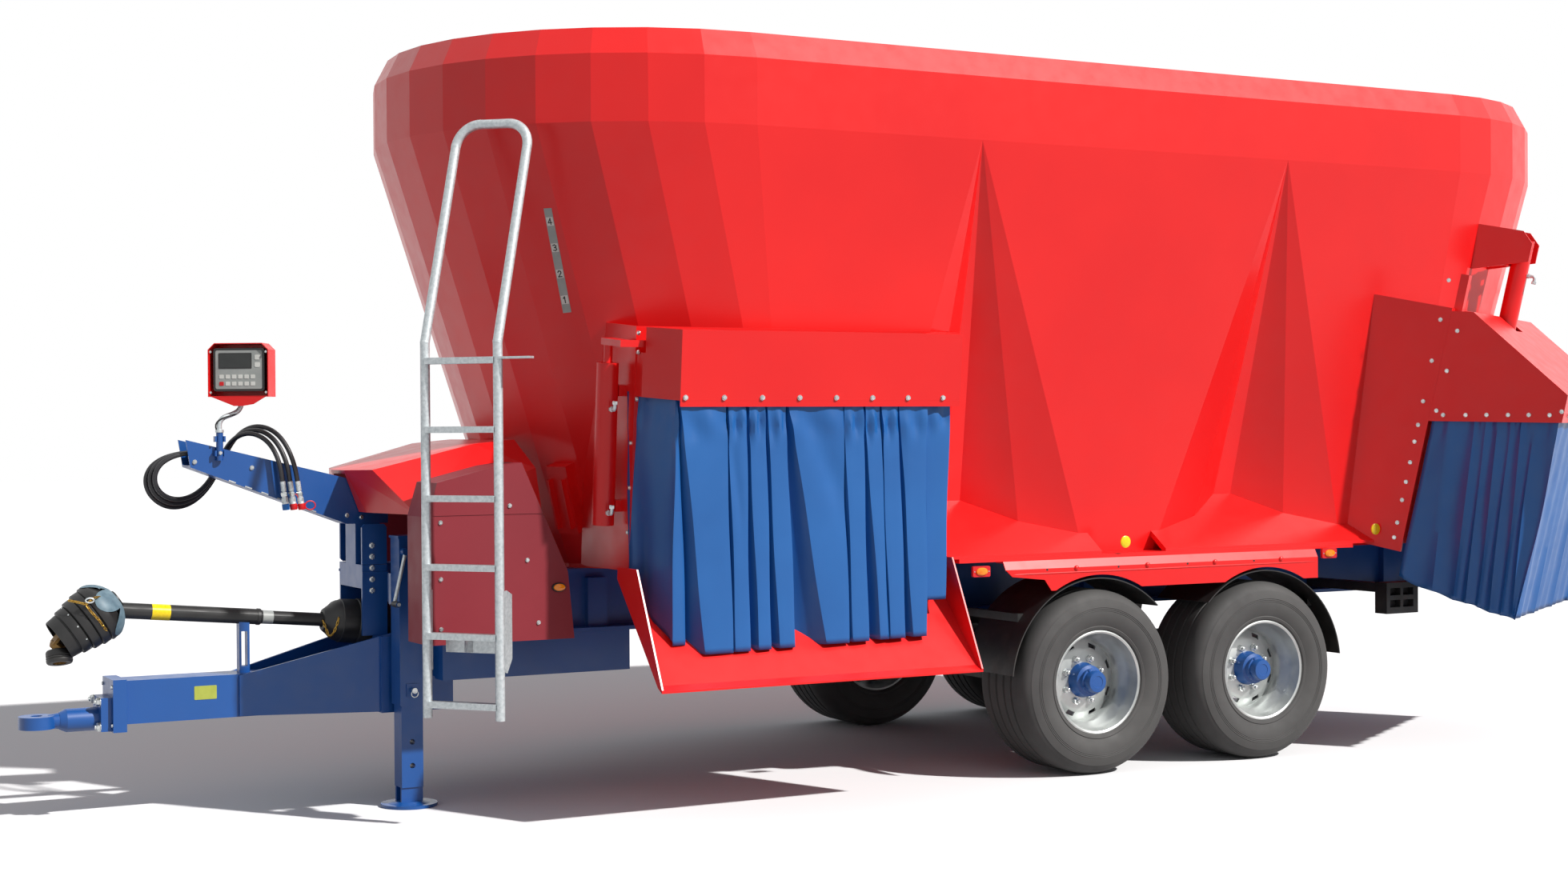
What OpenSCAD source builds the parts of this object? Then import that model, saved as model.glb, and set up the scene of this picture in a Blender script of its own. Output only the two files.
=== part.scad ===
/* [Tub] */
// Height of the tub floor's top face above the ground
floor_z = 1100; // [1000:10:1200]
// Distance from one lobe of the floor to the next
lobe_pitch = 1700; // [1640:10:1760]
// Radius of each lobe at the floor
lobe_r = 1120; // [1080:5:1150]
// Half width of the tub at the crease, and radius of its round ends there
top_r = 1305; // [1250:5:1350]
// Distance from the middle lobe to the top of each groove
groove_offset = 950; // [900:10:1000]
// Distance from the middle lobe to the centre of each round end at the crease
end_offset = 2170; // [2100:10:2250]
// Height of the crease where the ring stands on the tub
crease_z = 3110; // [2900:10:3200]
// Thickness of the tub and ring sheet
sheet_t = 10; // [8:1:14]
// Thickness of the floor plate
floor_t = 20; // [16:1:30]
// Flat facets in a quarter of each round end
end_facets = 8; // [7:1:10]
// Half width of the tub between the lobes at the floor
waist_y = 800; // [760:10:840]
// Half width of the floor plate's straight sides
floor_half_w = 1235; // [1215:5:1245]

/* [Ring] */
// Height of the ring's upright wall
ring_wall_h = 305; // [200:5:400]
// Height of the sloping lip above it
ring_lip_h = 125; // [80:5:160]
// How far the lip leans inwards
ring_lip_in = 65; // [40:5:90]

/* [Wheels] */
// Tyre outer radius
tyre_r = 462; // [440:1:480]
// Tyre section width
tyre_w = 435; // [400:5:445]
// Radius of the rim's flange
rim_r = 262; // [255:1:270]
// Distance between the two axles
axle_gap = 1060; // [1040:5:1200]
// Distance from the towing eye to the front axle
axle_x = 4870; // [4800:10:4950]
// Half the width over the tyres' outer faces
half_track_out = 1275; // [1270:1:1290]
// Side of the square axle beam
axle_side = 130; // [120:5:150]

/* [Drawbar] */
// Height of the towing eye's centre above the ground
eye_z = 455; // [400:5:520]
// Radius of the towing eye's bore
eye_bore_r = 25; // [20:0.5:28]
// Outer radius of the towing eye
eye_r = 78; // [65:1:85]
// Thickness of the towing eye at its bore
eye_t = 56; // [45:1:65]
// Width of the drawbar's box beam
beam_w = 170; // [140:5:200]
// Height of the drawbar's box beam
beam_h = 195; // [150:5:210]
// Depth of the beam's underside below the towing eye's centre
beam_drop = 25; // [15:1:60]

/* [Jack] */
// Place of the parking jack along the machine
jack_x = 1600; // [1570:5:1630]
// Place of the parking jack beside the centre line
jack_y = -345; // [-365:5:-340]
// Side of the jack's outer square tube
jack_tube = 120; // [110:5:130]
// Wall of the jack's outer tube
jack_wall = 8; // [6:1:10]

/* [Ladder] */
// Radius of the ladder's round rails
rail_r = 21; // [19:1:24]
// Spacing of the ladder's rungs
rung_pitch = 300; // [280:5:310]
// Height of the lowest rung
rung_z = 555; // [520:5:600]

/* [Augers] */
// Radius of the auger's lowest turn
auger_r = 1050; // [1000:5:1070]
// Height of the auger column
auger_h = 1650; // [1500:10:1700]
// Radius of the auger column
auger_tube_r = 150; // [130:5:170]
// Thickness of the auger's flight
flight_t = 15; // [12:1:20]

/* [Chutes] */
// Width of each discharge door opening
door_w = 1150; // [1050:10:1180]
// Height of each discharge door opening
door_h = 760; // [700:10:800]
// Travel of each discharge door
door_travel = 640; // [500:10:660]
// Bore radius of the door cylinders' barrels
barrel_r = 42; // [38:1:46]
// Radius of the door cylinders' rods
rod_r = 20; // [16:1:24]

/* [Hidden] */
red = "#d8121c";
dark_red = "#8c2530";
blue = "#1c4f8e";
zinc = "#b9c3c6";
black = "#1b1b1c";
seat = 0.3; // gap between pieces that rest on each other

// Tub: every length along X is from the towing eye's centre, every height from the ground
mid_x = 5110;
lobe_x = [mid_x - lobe_pitch, mid_x, mid_x + lobe_pitch];
end_x = [mid_x - end_offset, mid_x + end_offset];
apex_x = [mid_x - groove_offset, mid_x + groove_offset];
ring_z = crease_z + ring_wall_h;
rim_z = ring_z + ring_lip_h;
foot_angle = 90 / end_facets;
waist_angle = asin(waist_y / lobe_r);
flank_angle = (90 - foot_angle - waist_angle) / 2;

function arc_point(cx, r, a) = [cx - r * cos(a), r * sin(a)];
function reversed(list) = [for (i = [len(list) - 1 : -1 : 0]) list[i]];
function mirrored_back(half) = [for (p = reversed(half)) if (p[1] > 0.01) [p[0], -p[1]]];
function turned_round(half) = [for (p = reversed(half)) [2 * mid_x - p[0], p[1]]];
// Bends of a lobe's foot from its narrow foot facet into the groove
groove_angles = [90 + foot_angle, 90 + foot_angle + flank_angle, 180 - waist_angle, 180 - waist_angle / 2, 180];
function end_low(r) = concat([for (i = [0 : end_facets - 1]) arc_point(lobe_x[0], r, 90 * i / end_facets)],
    [for (a = groove_angles) arc_point(lobe_x[0], r, a)]);
function end_top(r) = concat([for (i = [0 : end_facets]) arc_point(end_x[0], r, 90 * i / end_facets)],
    [[apex_x[0], r]]);
function lobe_low(n, r) = n == 0 ? end_low(r) : n == 2 ? turned_round(end_low(r)) :
    concat([for (a = reversed(groove_angles)) arc_point(mid_x, r, 180 - a)],
        [for (a = groove_angles) arc_point(mid_x, r, a)]);
function lobe_top(n, r) = n == 0 ? end_top(r) : n == 2 ? turned_round(end_top(r)) : [[apex_x[0], r], [apex_x[1], r]];
function closed_outline(half) = concat(half, mirrored_back(half));

// Outline of the ring: two straight sides and two faceted round ends
function ring_outline(inset) =
    let (quarter = [for (i = [0 : end_facets]) arc_point(end_x[0], top_r - inset, 90 * i / end_facets)])
    closed_outline(concat(quarter, turned_round(quarter)));

// Solid through outlines with the same number of points, given as [height, points]
module loft(levels) {
    n = len(levels[0][1]);
    last = len(levels) - 1;
    polyhedron(
        points = [for (l = levels) for (p = l[1]) [p[0], p[1], l[0]]],
        faces = concat(
            [[for (i = [n - 1 : -1 : 0]) i]],
            [for (s = [0 : last - 1]) for (i = [0 : n - 1])
                let (a = s * n + i, b = s * n + (i + 1) % n) each [[a, b + n, a + n], [a, b, b + n]]],
            [[for (i = [0 : n - 1]) last * n + i]]));
}

// Convex body between an outline at the floor and one at the crease
module tapered(low, top, over) {
    points = concat([for (p = closed_outline(low)) [p[0], p[1], floor_z - over]],
        [for (p = closed_outline(top)) [p[0], p[1], crease_z + over]]);
    hull() polyhedron(points, [[for (i = [0 : len(points) - 1]) i]]);
}

module tub_solid(inset, over) {
    for (n = [0 : 2]) tapered(lobe_low(n, lobe_r - inset), lobe_top(n, top_r - inset), over);
    waist = (lobe_r - inset) * sin(waist_angle);
    tapered([[lobe_x[0], waist], [lobe_x[2], waist]], [[lobe_x[0], top_r - inset], [lobe_x[2], top_r - inset]], over);
}

module ring_solid(inset, over) {
    loft([[crease_z - over, ring_outline(inset)], [ring_z, ring_outline(inset)],
        [rim_z + over, ring_outline(inset + ring_lip_in * (1 + over / ring_lip_h))]]);
}

// Chutes: a local frame whose -Y points out of the tub through a door
front_lean = atan((top_r - lobe_r) / (crease_z - floor_z));
front_x = 3175;
rear_turn = 31.5;
rear_lean = atan((top_r - lobe_r + (end_offset - lobe_pitch) * sin(rear_turn)) / (crease_z - floor_z));
plate_out = 20; // from the tub's widest line to the chute's back plate
plate_t = 8;
door_gap = 8; // between the door and the plates it slides on
door_t = 12;
door_y = -plate_out - plate_t - door_gap - door_t;
lip_y = door_y - door_gap - plate_t;
sill = 30; // height of the opening's sill above the floor
lap = 30; // how far the door laps over the opening's edges
guide_w = 60;
module at_front() {
    translate([front_x, -lobe_r, floor_z]) rotate([front_lean, 0, 0]) children();
}
module at_rear() {
    translate([lobe_x[2], 0, floor_z]) rotate([0, 0, rear_turn]) translate([0, -lobe_r, 0])
        rotate([rear_lean, 0, 0]) children();
}
module door_hole() {
    translate([-door_w / 2, -300, sill]) cube([door_w, 900, door_h]);
}

module tub() {
    color(red) difference() {
        tub_solid(0, 0);
        tub_solid(sheet_t, 1);
        at_front() door_hole();
        at_rear() door_hole();
    }
}

module tub_ring() {
    color(red) difference() {
        ring_solid(0, 0);
        ring_solid(sheet_t, 1);
    }
}

// Floor plate with the auger bearings' bores, and the sloping saddle plates in the grooves
auger_x = [lobe_x[0], lobe_x[2]];
neck_r = 110;
saddle_z = 290; // rise of a saddle plate above the floor
saddle_w = 1500;
module tub_floor() {
    color(red) {
        difference() {
            translate([0, 0, floor_z - floor_t]) linear_extrude(floor_t) {
                for (n = [0 : 2]) polygon(closed_outline(lobe_low(n, lobe_r)));
                translate([lobe_x[0], -waist_y]) square([2 * lobe_pitch, 2 * waist_y]);
                translate([lobe_x[0] + 650, -floor_half_w]) square([2 * lobe_pitch - 900, 2 * floor_half_w]);
            }
            for (x = auger_x) translate([x, 0, floor_z - floor_t - 1])
                cylinder(h = floor_t + 2, r = neck_r, $fn = 96);
        }
        difference() {
            for (s = [-1, 1]) for (x = apex_x) saddle_plate(x, s);
            tub_solid(-seat, 0);
            at_front() translate([-front_half_w - seat, -200, -100]) cube([2 * front_half_w + 2 * seat, 700, 700]);
            at_rear() translate([-rear_half_w - seat, -200, -100]) cube([2 * rear_half_w + 2 * seat, 800, 700]);
        }
    }
}
module saddle_plate(x, side) {
    reach = floor_half_w - 5;
    inner = waist_y - 20;
    rise = saddle_z + 40;
    scale([1, side, 1]) translate([x - saddle_w / 2, 0, floor_z]) rotate([90, 0, 90]) linear_extrude(saddle_w)
        polygon([[reach, 0], [reach, 14], [inner, rise], [inner, rise - 14], [reach - 30, 0]]);
}

// Long rails under the floor edge with skirts cut round above the wheels
wheel_x = [axle_x, axle_x + axle_gap];
skirt_x = [4310, 6290];
skirt_y = 1262;
skirt_t = 6;
skirt_low_z = 930;
module skirts() {
    color(red) for (s = [-1, 1]) scale([1, s, 1]) {
        translate([0, skirt_y, 0]) rotate([90, 0, 0]) linear_extrude(skirt_t) difference() {
            polygon([[skirt_x[0], 1040], [skirt_x[0] + 40, 1005], [skirt_x[0] + 230, 985],
                [skirt_x[0] + 270, skirt_low_z], [skirt_x[1], skirt_low_z], [skirt_x[1], 1040]]);
            for (x = wheel_x) translate([x, tyre_r]) circle(r = tyre_r + 75, $fn = 96);
        }
        translate([skirt_x[0], 0, 0]) rotate([90, 0, 90]) linear_extrude(skirt_x[1] - skirt_x[0])
            polygon([[skirt_y - skirt_t, 1038], [skirt_y, 1038], [floor_half_w + 4, frame_top],
                [floor_half_w - 60, frame_top], [floor_half_w - 60, frame_top - 8], [floor_half_w, frame_top - 8]]);
    }
}

// Main frame: two long beams with cross members, under the tub floor
frame_x = [1750, 8050];
frame_y = 480;
frame_w = 110;
frame_web = 14;
frame_flange = 18;
frame_end = 12;
frame_top = floor_z - floor_t - seat;
frame_h = 300;
frame_low = frame_top - frame_h;
cross_x = [1760, 2450, 4350, 5350, 7500, 7940];
shaft_r = 35;
pto_z = 845;
module main_frame() {
    color(blue) difference() {
        union() {
            for (s = [-1, 1]) translate([0, s * frame_y, 0]) scale([1, s, 1]) difference() {
                translate([frame_x[0], -frame_w / 2, frame_low]) cube([frame_x[1] - frame_x[0], frame_w, frame_h]);
                // channel section, open to the outside
                translate([frame_x[0] + frame_end, frame_web - frame_w / 2, frame_low + frame_flange])
                    cube([frame_x[1] - frame_x[0] - 2 * frame_end, frame_w, frame_h - 2 * frame_flange]);
            }
            for (x = cross_x) translate([x, -frame_y, frame_low + 10]) cube([100, 2 * frame_y, frame_h - 60]);
        }
        translate([frame_x[0] - 50, 0, pto_z]) rotate([0, 90, 0])
            cylinder(h = lobe_x[2] - frame_x[0], r = shaft_r + 25, $fn = 48);
    }
}

// Drawbar: a box beam that widens into the front of the frame
beam_x = [370, 1100];
beam_low = eye_z - beam_drop;
beam_top = beam_low + beam_h;
gusset_t = 14;
gusset_y = 260;
module gusset(side) {
    // slanting plate from the beam's side to the frame
    hull() {
        translate([880, side * (beam_w / 2 + gusset_t / 2) - gusset_t / 2, beam_low + 5])
            cube([10, gusset_t, beam_h - 10]);
        translate([1690, side * gusset_y - gusset_t / 2, beam_low - 5]) cube([10, gusset_t, 400]);
    }
}
module drawbar() {
    color(blue) {
        translate([beam_x[0], -beam_w / 2, beam_low]) cube([1500 - beam_x[0], beam_w, beam_h]);
        // flange plate with its bolt holes
        difference() {
            translate([beam_x[0] - 60, -110, beam_low - 32]) cube([60.1, 220, beam_h + 40]);
            for (s = [-1, 1]) for (z = [0, beam_h - 24]) translate([beam_x[0] - 61, s * 96, beam_low + z]) rotate([0, 90, 0])
                cylinder(h = 40, r = 9, $fn = 24);
        }
        for (s = [-1, 1]) gusset(s);
        difference() {
            translate([1500, -gusset_y, beam_low - 5]) cube([350, 2 * gusset_y, frame_low - beam_low + 5 - seat]);
            translate([1400, 0, pto_z]) rotate([0, 90, 0]) cylinder(h = 500, r = 150, $fn = 64);
        }
        for (s = [-1, 1]) translate([1700, s * frame_y - frame_w / 2, 590])
            cube([940, frame_w, frame_low - 590 - seat]);
        translate([1700, -frame_y, 600]) cube([140, 2 * frame_y, 150]);
    }
}

// Towing eye: a forged ring on a flanged shank
shank_r = 52;
module tow_eye() {
    color(blue) difference() {
        union() {
            translate([0, 0, eye_z - eye_t / 2]) cylinder(h = eye_t, r = eye_r, $fn = 96);
            translate([50, 0, eye_z]) rotate([0, 90, 0]) cylinder(h = 60, r1 = 30, r2 = 38, $fn = 64);
            translate([95, 0, eye_z]) rotate([0, 90, 0]) cylinder(h = 30, r1 = 38, r2 = shank_r, $fn = 64);
            translate([124, 0, eye_z]) rotate([0, 90, 0]) cylinder(h = 140, r = shank_r, $fn = 64);
            translate([262, -85, eye_z - 52]) cube([beam_x[0] - 60 - 262 - seat, 170, 150]);
        }
        translate([0, 0, eye_z - 100]) cylinder(h = 200, r = eye_bore_r, $fn = 96);
    }
}

// Parking jack: outer tube bolted beside the drawbar, inner leg down on its foot
jack_top = 1240;
jack_low = 470;
leg_side = jack_tube - 2 * jack_wall - 2 * seat;
foot_r = 130;
foot_t = 14;
module jack_sleeve() {
    color(blue) {
        translate([jack_x, jack_y, jack_low]) difference() {
            translate([-jack_tube / 2, -jack_tube / 2, 0]) cube([jack_tube, jack_tube, jack_top - jack_low]);
            translate([-leg_side / 2 - seat, -leg_side / 2 - seat, -1])
                cube([leg_side + 2 * seat, leg_side + 2 * seat, jack_top - jack_low + 2]);
        }
        translate([jack_x - jack_tube / 2 - 6, jack_y - jack_tube / 2 - 6, jack_top])
            cube([jack_tube + 12, jack_tube + 12, 12]);
        translate([jack_x - 50, jack_y + jack_tube / 2, 560])
            cube([100, -gusset_y - jack_y - jack_tube / 2 - seat, 160]);
        // crank: its shaft, the bent arm and the grip
        translate([jack_x - 40, jack_y - jack_tube / 2 - 40, jack_top - 60]) rotate([-90, 0, 0])
            cylinder(h = 41, r = 16, $fn = 32);
        rod([jack_x - 40, jack_y - jack_tube / 2 - 32, jack_top - 60], [jack_x - 95, jack_y - jack_tube / 2 - 32, jack_top - 300], 7);
        translate([jack_x - 95, jack_y - jack_tube / 2 - 95, jack_top - 296]) rotate([-90, 0, 0])
            cylinder(h = 70, r = 13, $fn = 32);
        // lugs for the stowing pin
        for (s = [-1, 1]) translate([jack_x - 30, jack_y + s * (jack_tube / 2 + 3) - 3.1, jack_low + 40]) cube([60, 6.2, 60]);
    }
}
module jack_leg() {
    color(blue) translate([jack_x, jack_y, 0]) {
        difference() {
            translate([-leg_side / 2, -leg_side / 2, 90]) cube([leg_side, leg_side, 820]);
            for (z = [190, 300]) translate([0, -100, z]) rotate([-90, 0, 0]) cylinder(h = 200, r = 13, $fn = 32);
        }
        // forked foot: two ears on a dished plate
        for (s = [-1, 1]) translate([-leg_side / 2, s * 36 - 8, foot_t - 0.1]) cube([leg_side, 16, 76.2]);
        cylinder(h = foot_t, r = foot_r, $fn = 64);
        translate([0, 0, foot_t - 0.1]) cylinder(h = 10, r1 = foot_r - 30, r2 = foot_r - 60, $fn = 64);
    }
}

// Faceted hood over the drive at the front, open where the hose arm comes out
hood_t = 6;
hood_points = [[1380, 100, 1552], [1440, 330, 1556], [1900, 430, 1672], [2100, 430, 1690], [1455, 200, 1356],
    [1545, 640, 1356], [2150, 640, 1356], [2120, 640, 1560]];
module hood_solid(inset, low) {
    hull() for (s = [-1, 1]) for (p = hood_points) {
        q = p[2] < 1400 ? [p[0] + inset, s * (p[1] - inset), p[2] - low] : [p[0] + inset, s * (p[1] - inset), p[2] - inset];
        translate(q) cube(0.5, center = true);
    }
}
module drive_hood() {
    color(red) difference() {
        hood_solid(0, 0);
        hood_solid(hood_t, 5);
        translate([1300, -arm_half_w - 12, 1200]) cube([300, 2 * arm_half_w + 24, 335]);
        tub_solid(-seat, 0);
    }
}
cover_y = [640 + seat, 905];
cover_profile = [[1500, 790], [1500, 1355], [1545, 1505], [1830, 1575], [1945, 1590], [2165, 1095], [2195, 790]];
far_cover_x = 1860;
module side_covers() {
    color(dark_red) for (s = [-1, 1]) scale([1, s, 1]) difference() {
        translate([0, cover_y[1], 0]) rotate([90, 0, 0]) linear_extrude(cover_y[1] - cover_y[0])
            polygon(cover_profile);
        translate([0, cover_y[1] - 6, 0]) rotate([90, 0, 0]) linear_extrude(cover_y[1] - cover_y[0] + 50)
            polygon([[1506, 780], [1506, 1354], [1550, 1500], [1831, 1569], [1941, 1583], [2158, 1095], [2188, 780]]);
        if (s > 0) translate([1400, 0, 700]) cube([far_cover_x - 1400, 1000, 1000]);
        // gap between the upper and the lower panel
        translate([1400, cover_y[1] - 3, 1352]) cube([900, 10, 8]);
    }
}

// Drive shaft to the tractor, and its wide-angle joint hanging at the front
module rod(a, b, r) {
    d = b - a;
    translate(a) rotate([0, acos(d[2] / norm(d)), atan2(d[1], d[0])]) cylinder(h = norm(d), r = r, $fn = 48);
}
pto_front = [290, 0, 942];
pto_mid = [1350, 0, 845];
pto_hang = 236; // turn of the hanging joint about the Y axis
// Ribbed guard cone, its wide end up
guard_steps = [[60, -40], [100, -34], [126, -8], [133, 0], [136, 40], [130, 44], [131, 84], [123, 88], [122, 128],
    [112, 132], [110, 176], [100, 180], [95, 232], [88, 232], [100, 170], [108, 120], [100, 20], [60, 0]];
sleeve_at = [100, 0, 712];
module pto_shaft() {
    color(black) {
        rod(pto_front, [1000, 0, 877.03], 36);
        rod([950, 0, 881.6], pto_mid, 31);
        translate(pto_mid) rotate([0, 92, 0]) rotate_extrude($fn = 64) polygon([[0, 0], [62, 0], [64, 40], [74, 42], [77, 84],
            [87, 86], [90, 128], [100, 130], [103, 172], [112, 174], [114, 250], [106, 250], [70, 60], [0, 60]]);
        translate(pto_front) sphere(r = 78, $fn = 48);
        translate(pto_front) rotate([0, pto_hang, 0]) rotate_extrude($fn = 64) polygon(guard_steps);
        rod(pto_front, [155, 0, 851], 44);
        // yoke and the sleeve that takes the tractor's shaft
        for (s = [-1, 1]) translate([66, s * 40 - 9, sleeve_at[2] + 40]) cube([68, 18, 80]);
        rod(sleeve_at + [0, 0, 50], [155, 0, 851], 36);
        translate(sleeve_at) cylinder(h = 60, r = 58, $fn = 48);
        rod([1380, 0, 844], [1620, 0, pto_z], 40);
        translate([1600, 0, pto_z]) rotate([0, 90, 0]) cylinder(h = 50, r = 90, $fn = 48);
    }
}
module pto_stand() {
    color(blue) difference() {
        translate([900, -24, beam_top + seat]) cube([48, 48, 900 - beam_top]);
        rod([800, 0, 895.33], [1100, 0, 867.88], 36 + seat);
        translate([800, -40, 886]) cube([300, 80, 100]);
        translate([910, -30, beam_top + 30]) cube([28, 60, 160]);
    }
}

// Arm that carries the hoses and the weighing terminal, on its bolted post
arm_half_w = 75;
arm_t = 8;
module hose_arm() {
    color(blue) {
        difference() {
            translate([0, arm_half_w, 0]) rotate([90, 0, 0]) linear_extrude(2 * arm_half_w)
                polygon([[650, 1700], [670, 1575], [1400, 1300], [1600, 1300], [1600, 1500], [1420, 1510]]);
            translate([0, arm_half_w - arm_t, 0]) rotate([90, 0, 0]) linear_extrude(2 * arm_half_w - 2 * arm_t)
                polygon([[600, 1800], [640, 1595], [1402, 1309], [1590, 1309], [1590, 1400], [1300, 1800]]);
        }
        translate([1440, -arm_half_w, 1000]) cube([120, 2 * arm_half_w, 301]);
        for (s = [-1, 1]) translate([1440, s * 165 - 8, 780]) cube([120, 16, 330]);
        translate([1440, -173, 1000]) cube([120, 346, 110]);
        // bulkhead the hoses leave from
        translate([hose_route_1[0][0] + seat, 1 - arm_half_w, 1575]) cube([8, 2 * arm_half_w - 2, 100]);
        // cheeks of the two clamps on the terminal's post
        for (z = [1625, 1690], s = [-1, 1]) translate([post_x + s * (post_r + 4 + seat) - 4, -arm_half_w - 30, z]) cube([8, 30.1, 26]);
    }
}
// Hoses: each leaves the arm's front end, loops below it and comes back over its top to the couplers
hose_r = 11;
hose_sides = 8;
hose_route_1 = [
    [745, -32, 1640], [692, -32, 1642], [640, -31, 1636], [590, -30, 1621], [546, -26, 1592],
    [522, -19, 1547], [527, -6, 1497], [557, 13, 1458], [598, 36, 1435], [644, 60, 1427], [691, 83, 1432],
    [737, 102, 1450], [778, 116, 1479], [812, 123, 1519], [838, 123, 1565], [858, 114, 1612],
    [877, 96, 1658], [899, 67, 1696], [927, 30, 1721], [958, -11, 1729], [991, -50, 1719],
    [1022, -83, 1692], [1046, -107, 1651], [1063, -120, 1603], [1074, -127, 1552], [1080, -128, 1500]];
hose_route_2 = [
    [745, 0, 1640], [688, 0, 1642], [631, 1, 1634], [576, 3, 1618], [530, 7, 1585], [507, 15, 1534],
    [518, 28, 1480], [553, 48, 1439], [598, 72, 1415], [649, 98, 1407], [700, 122, 1414], [749, 142, 1436],
    [792, 155, 1471], [828, 160, 1515], [854, 158, 1566], [876, 147, 1618], [897, 126, 1667],
    [921, 95, 1708], [951, 55, 1736], [985, 11, 1745], [1020, -34, 1735], [1051, -72, 1706],
    [1076, -100, 1663], [1094, -117, 1612], [1108, -126, 1557], [1115, -128, 1500]];
hose_route_3 = [
    [745, 32, 1640], [683, 32, 1642], [622, 33, 1633], [563, 35, 1614], [514, 39, 1577], [493, 48, 1521],
    [509, 62, 1464], [549, 83, 1421], [599, 108, 1395], [653, 136, 1387], [709, 161, 1396],
    [761, 181, 1422], [807, 192, 1463], [843, 196, 1513], [871, 192, 1568], [894, 179, 1624],
    [916, 157, 1677], [943, 123, 1722], [976, 80, 1752], [1012, 32, 1762], [1048, -17, 1751],
    [1080, -60, 1721], [1106, -93, 1675], [1126, -114, 1620], [1141, -126, 1561], [1150, -128, 1500]];
module hose(route) {
    n = len(route);
    function along(i) = let (d = route[min(i + 1, n - 1)] - route[max(i - 1, 0)]) d / norm(d);
    // each ring stands square to the route, turned by one level direction
    points = [for (i = [0 : n - 1]) let (d = along(i), w = cross(d, [1, 2, 0]), u = w / norm(w), v = cross(d, u))
        for (k = [0 : hose_sides - 1]) route[i] + hose_r * (cos(360 * k / hose_sides) * u + sin(360 * k / hose_sides) * v)];
    last = (n - 1) * hose_sides;
    polyhedron(points = points, faces = concat([[for (k = [0 : hose_sides - 1]) k]],
        [for (i = [0 : n - 2]) for (k = [0 : hose_sides - 1])
            let (a = i * hose_sides + k, b = i * hose_sides + (k + 1) % hose_sides)
                each [[a, a + hose_sides, b + hose_sides], [a, b + hose_sides, b]]],
        [[for (k = [hose_sides - 1 : -1 : 0]) last + k]]));
}
module hose_1() { color(black) hose(hose_route_1); }
module hose_2() { color(black) hose(hose_route_2); }
module hose_3() { color(black) hose(hose_route_3); }
// Coupler on a hose's end: the ferrule, the body and the cap
module couplers() {
    color(zinc) for (route = [hose_route_1, hose_route_2, hose_route_3]) {
        end = route[len(route) - 1];
        d = end - route[len(route) - 2];
        translate(end) rotate([0, acos(d[2] / norm(d)), atan2(d[1], d[0])]) rotate_extrude($fn = 32)
            polygon([[0, seat], [13, seat], [13, 40], [10, 42], [10, 50], [15, 52], [15, 82], [12, 84], [12, 100], [17, 102], [17, 128],
                [0, 128]]);
    }
}
post_x = 800;
post_r = 16;
post_y = -arm_half_w - post_r - seat;
terminal_at = [905, post_y, 1895];
terminal_turn = -32;
module terminal() {
    color(red) translate(terminal_at) rotate([0, 0, terminal_turn]) {
        difference() {
            translate([-140, -60, 0]) cube([280, 115, 245]);
            // recess for the instrument, open to the front
            translate([-134, -61, 14]) cube([268, 19, 225]);
        }
        // pointed lip under the housing
        translate([0, -54, 0]) rotate([90, 0, 0]) linear_extrude(6)
            polygon([[-130, 0.1], [130, 0.1], [70, -34], [20, -42], [-20, -42]]);
    }
}
module terminal_post() {
    color(zinc) {
        rod([post_x, post_y, 1600], [post_x, post_y, 1800], post_r);
        rod([post_x, post_y, 1800], [900, post_y, 1830], 12);
        rod([900, post_y, 1830], [900, post_y, terminal_at[2] - seat], 12);
        for (p = [[post_x, post_y, 1800], [900, post_y, 1830]]) translate(p) sphere(r = 17, $fn = 32);
    }
}

// Ladder at the front left corner
ladder_foot = [[1485, -931], [1715, -1209]];
ladder_bend_z = 2120;
ladder_top_z = 3100;
ladder_shift = [223, 150];
rung_turn = atan2(ladder_foot[1][1] - ladder_foot[0][1], ladder_foot[1][0] - ladder_foot[0][0]);
rung_len = norm(ladder_foot[1] - ladder_foot[0]);
rail_dir = [ladder_foot[1][0] - ladder_foot[0][0], ladder_foot[1][1] - ladder_foot[0][1], 0] / rung_len;
lean_raw = [ladder_shift[0], ladder_shift[1], ladder_top_z - ladder_bend_z];
lean_len = norm(lean_raw);
hoop_r = 110; // radius of the hoop's corners
rung_t = 4;
module along_rungs(z) {
    translate([ladder_foot[0][0], ladder_foot[0][1], z]) rotate([0, 0, rung_turn]) children();
}
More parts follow.
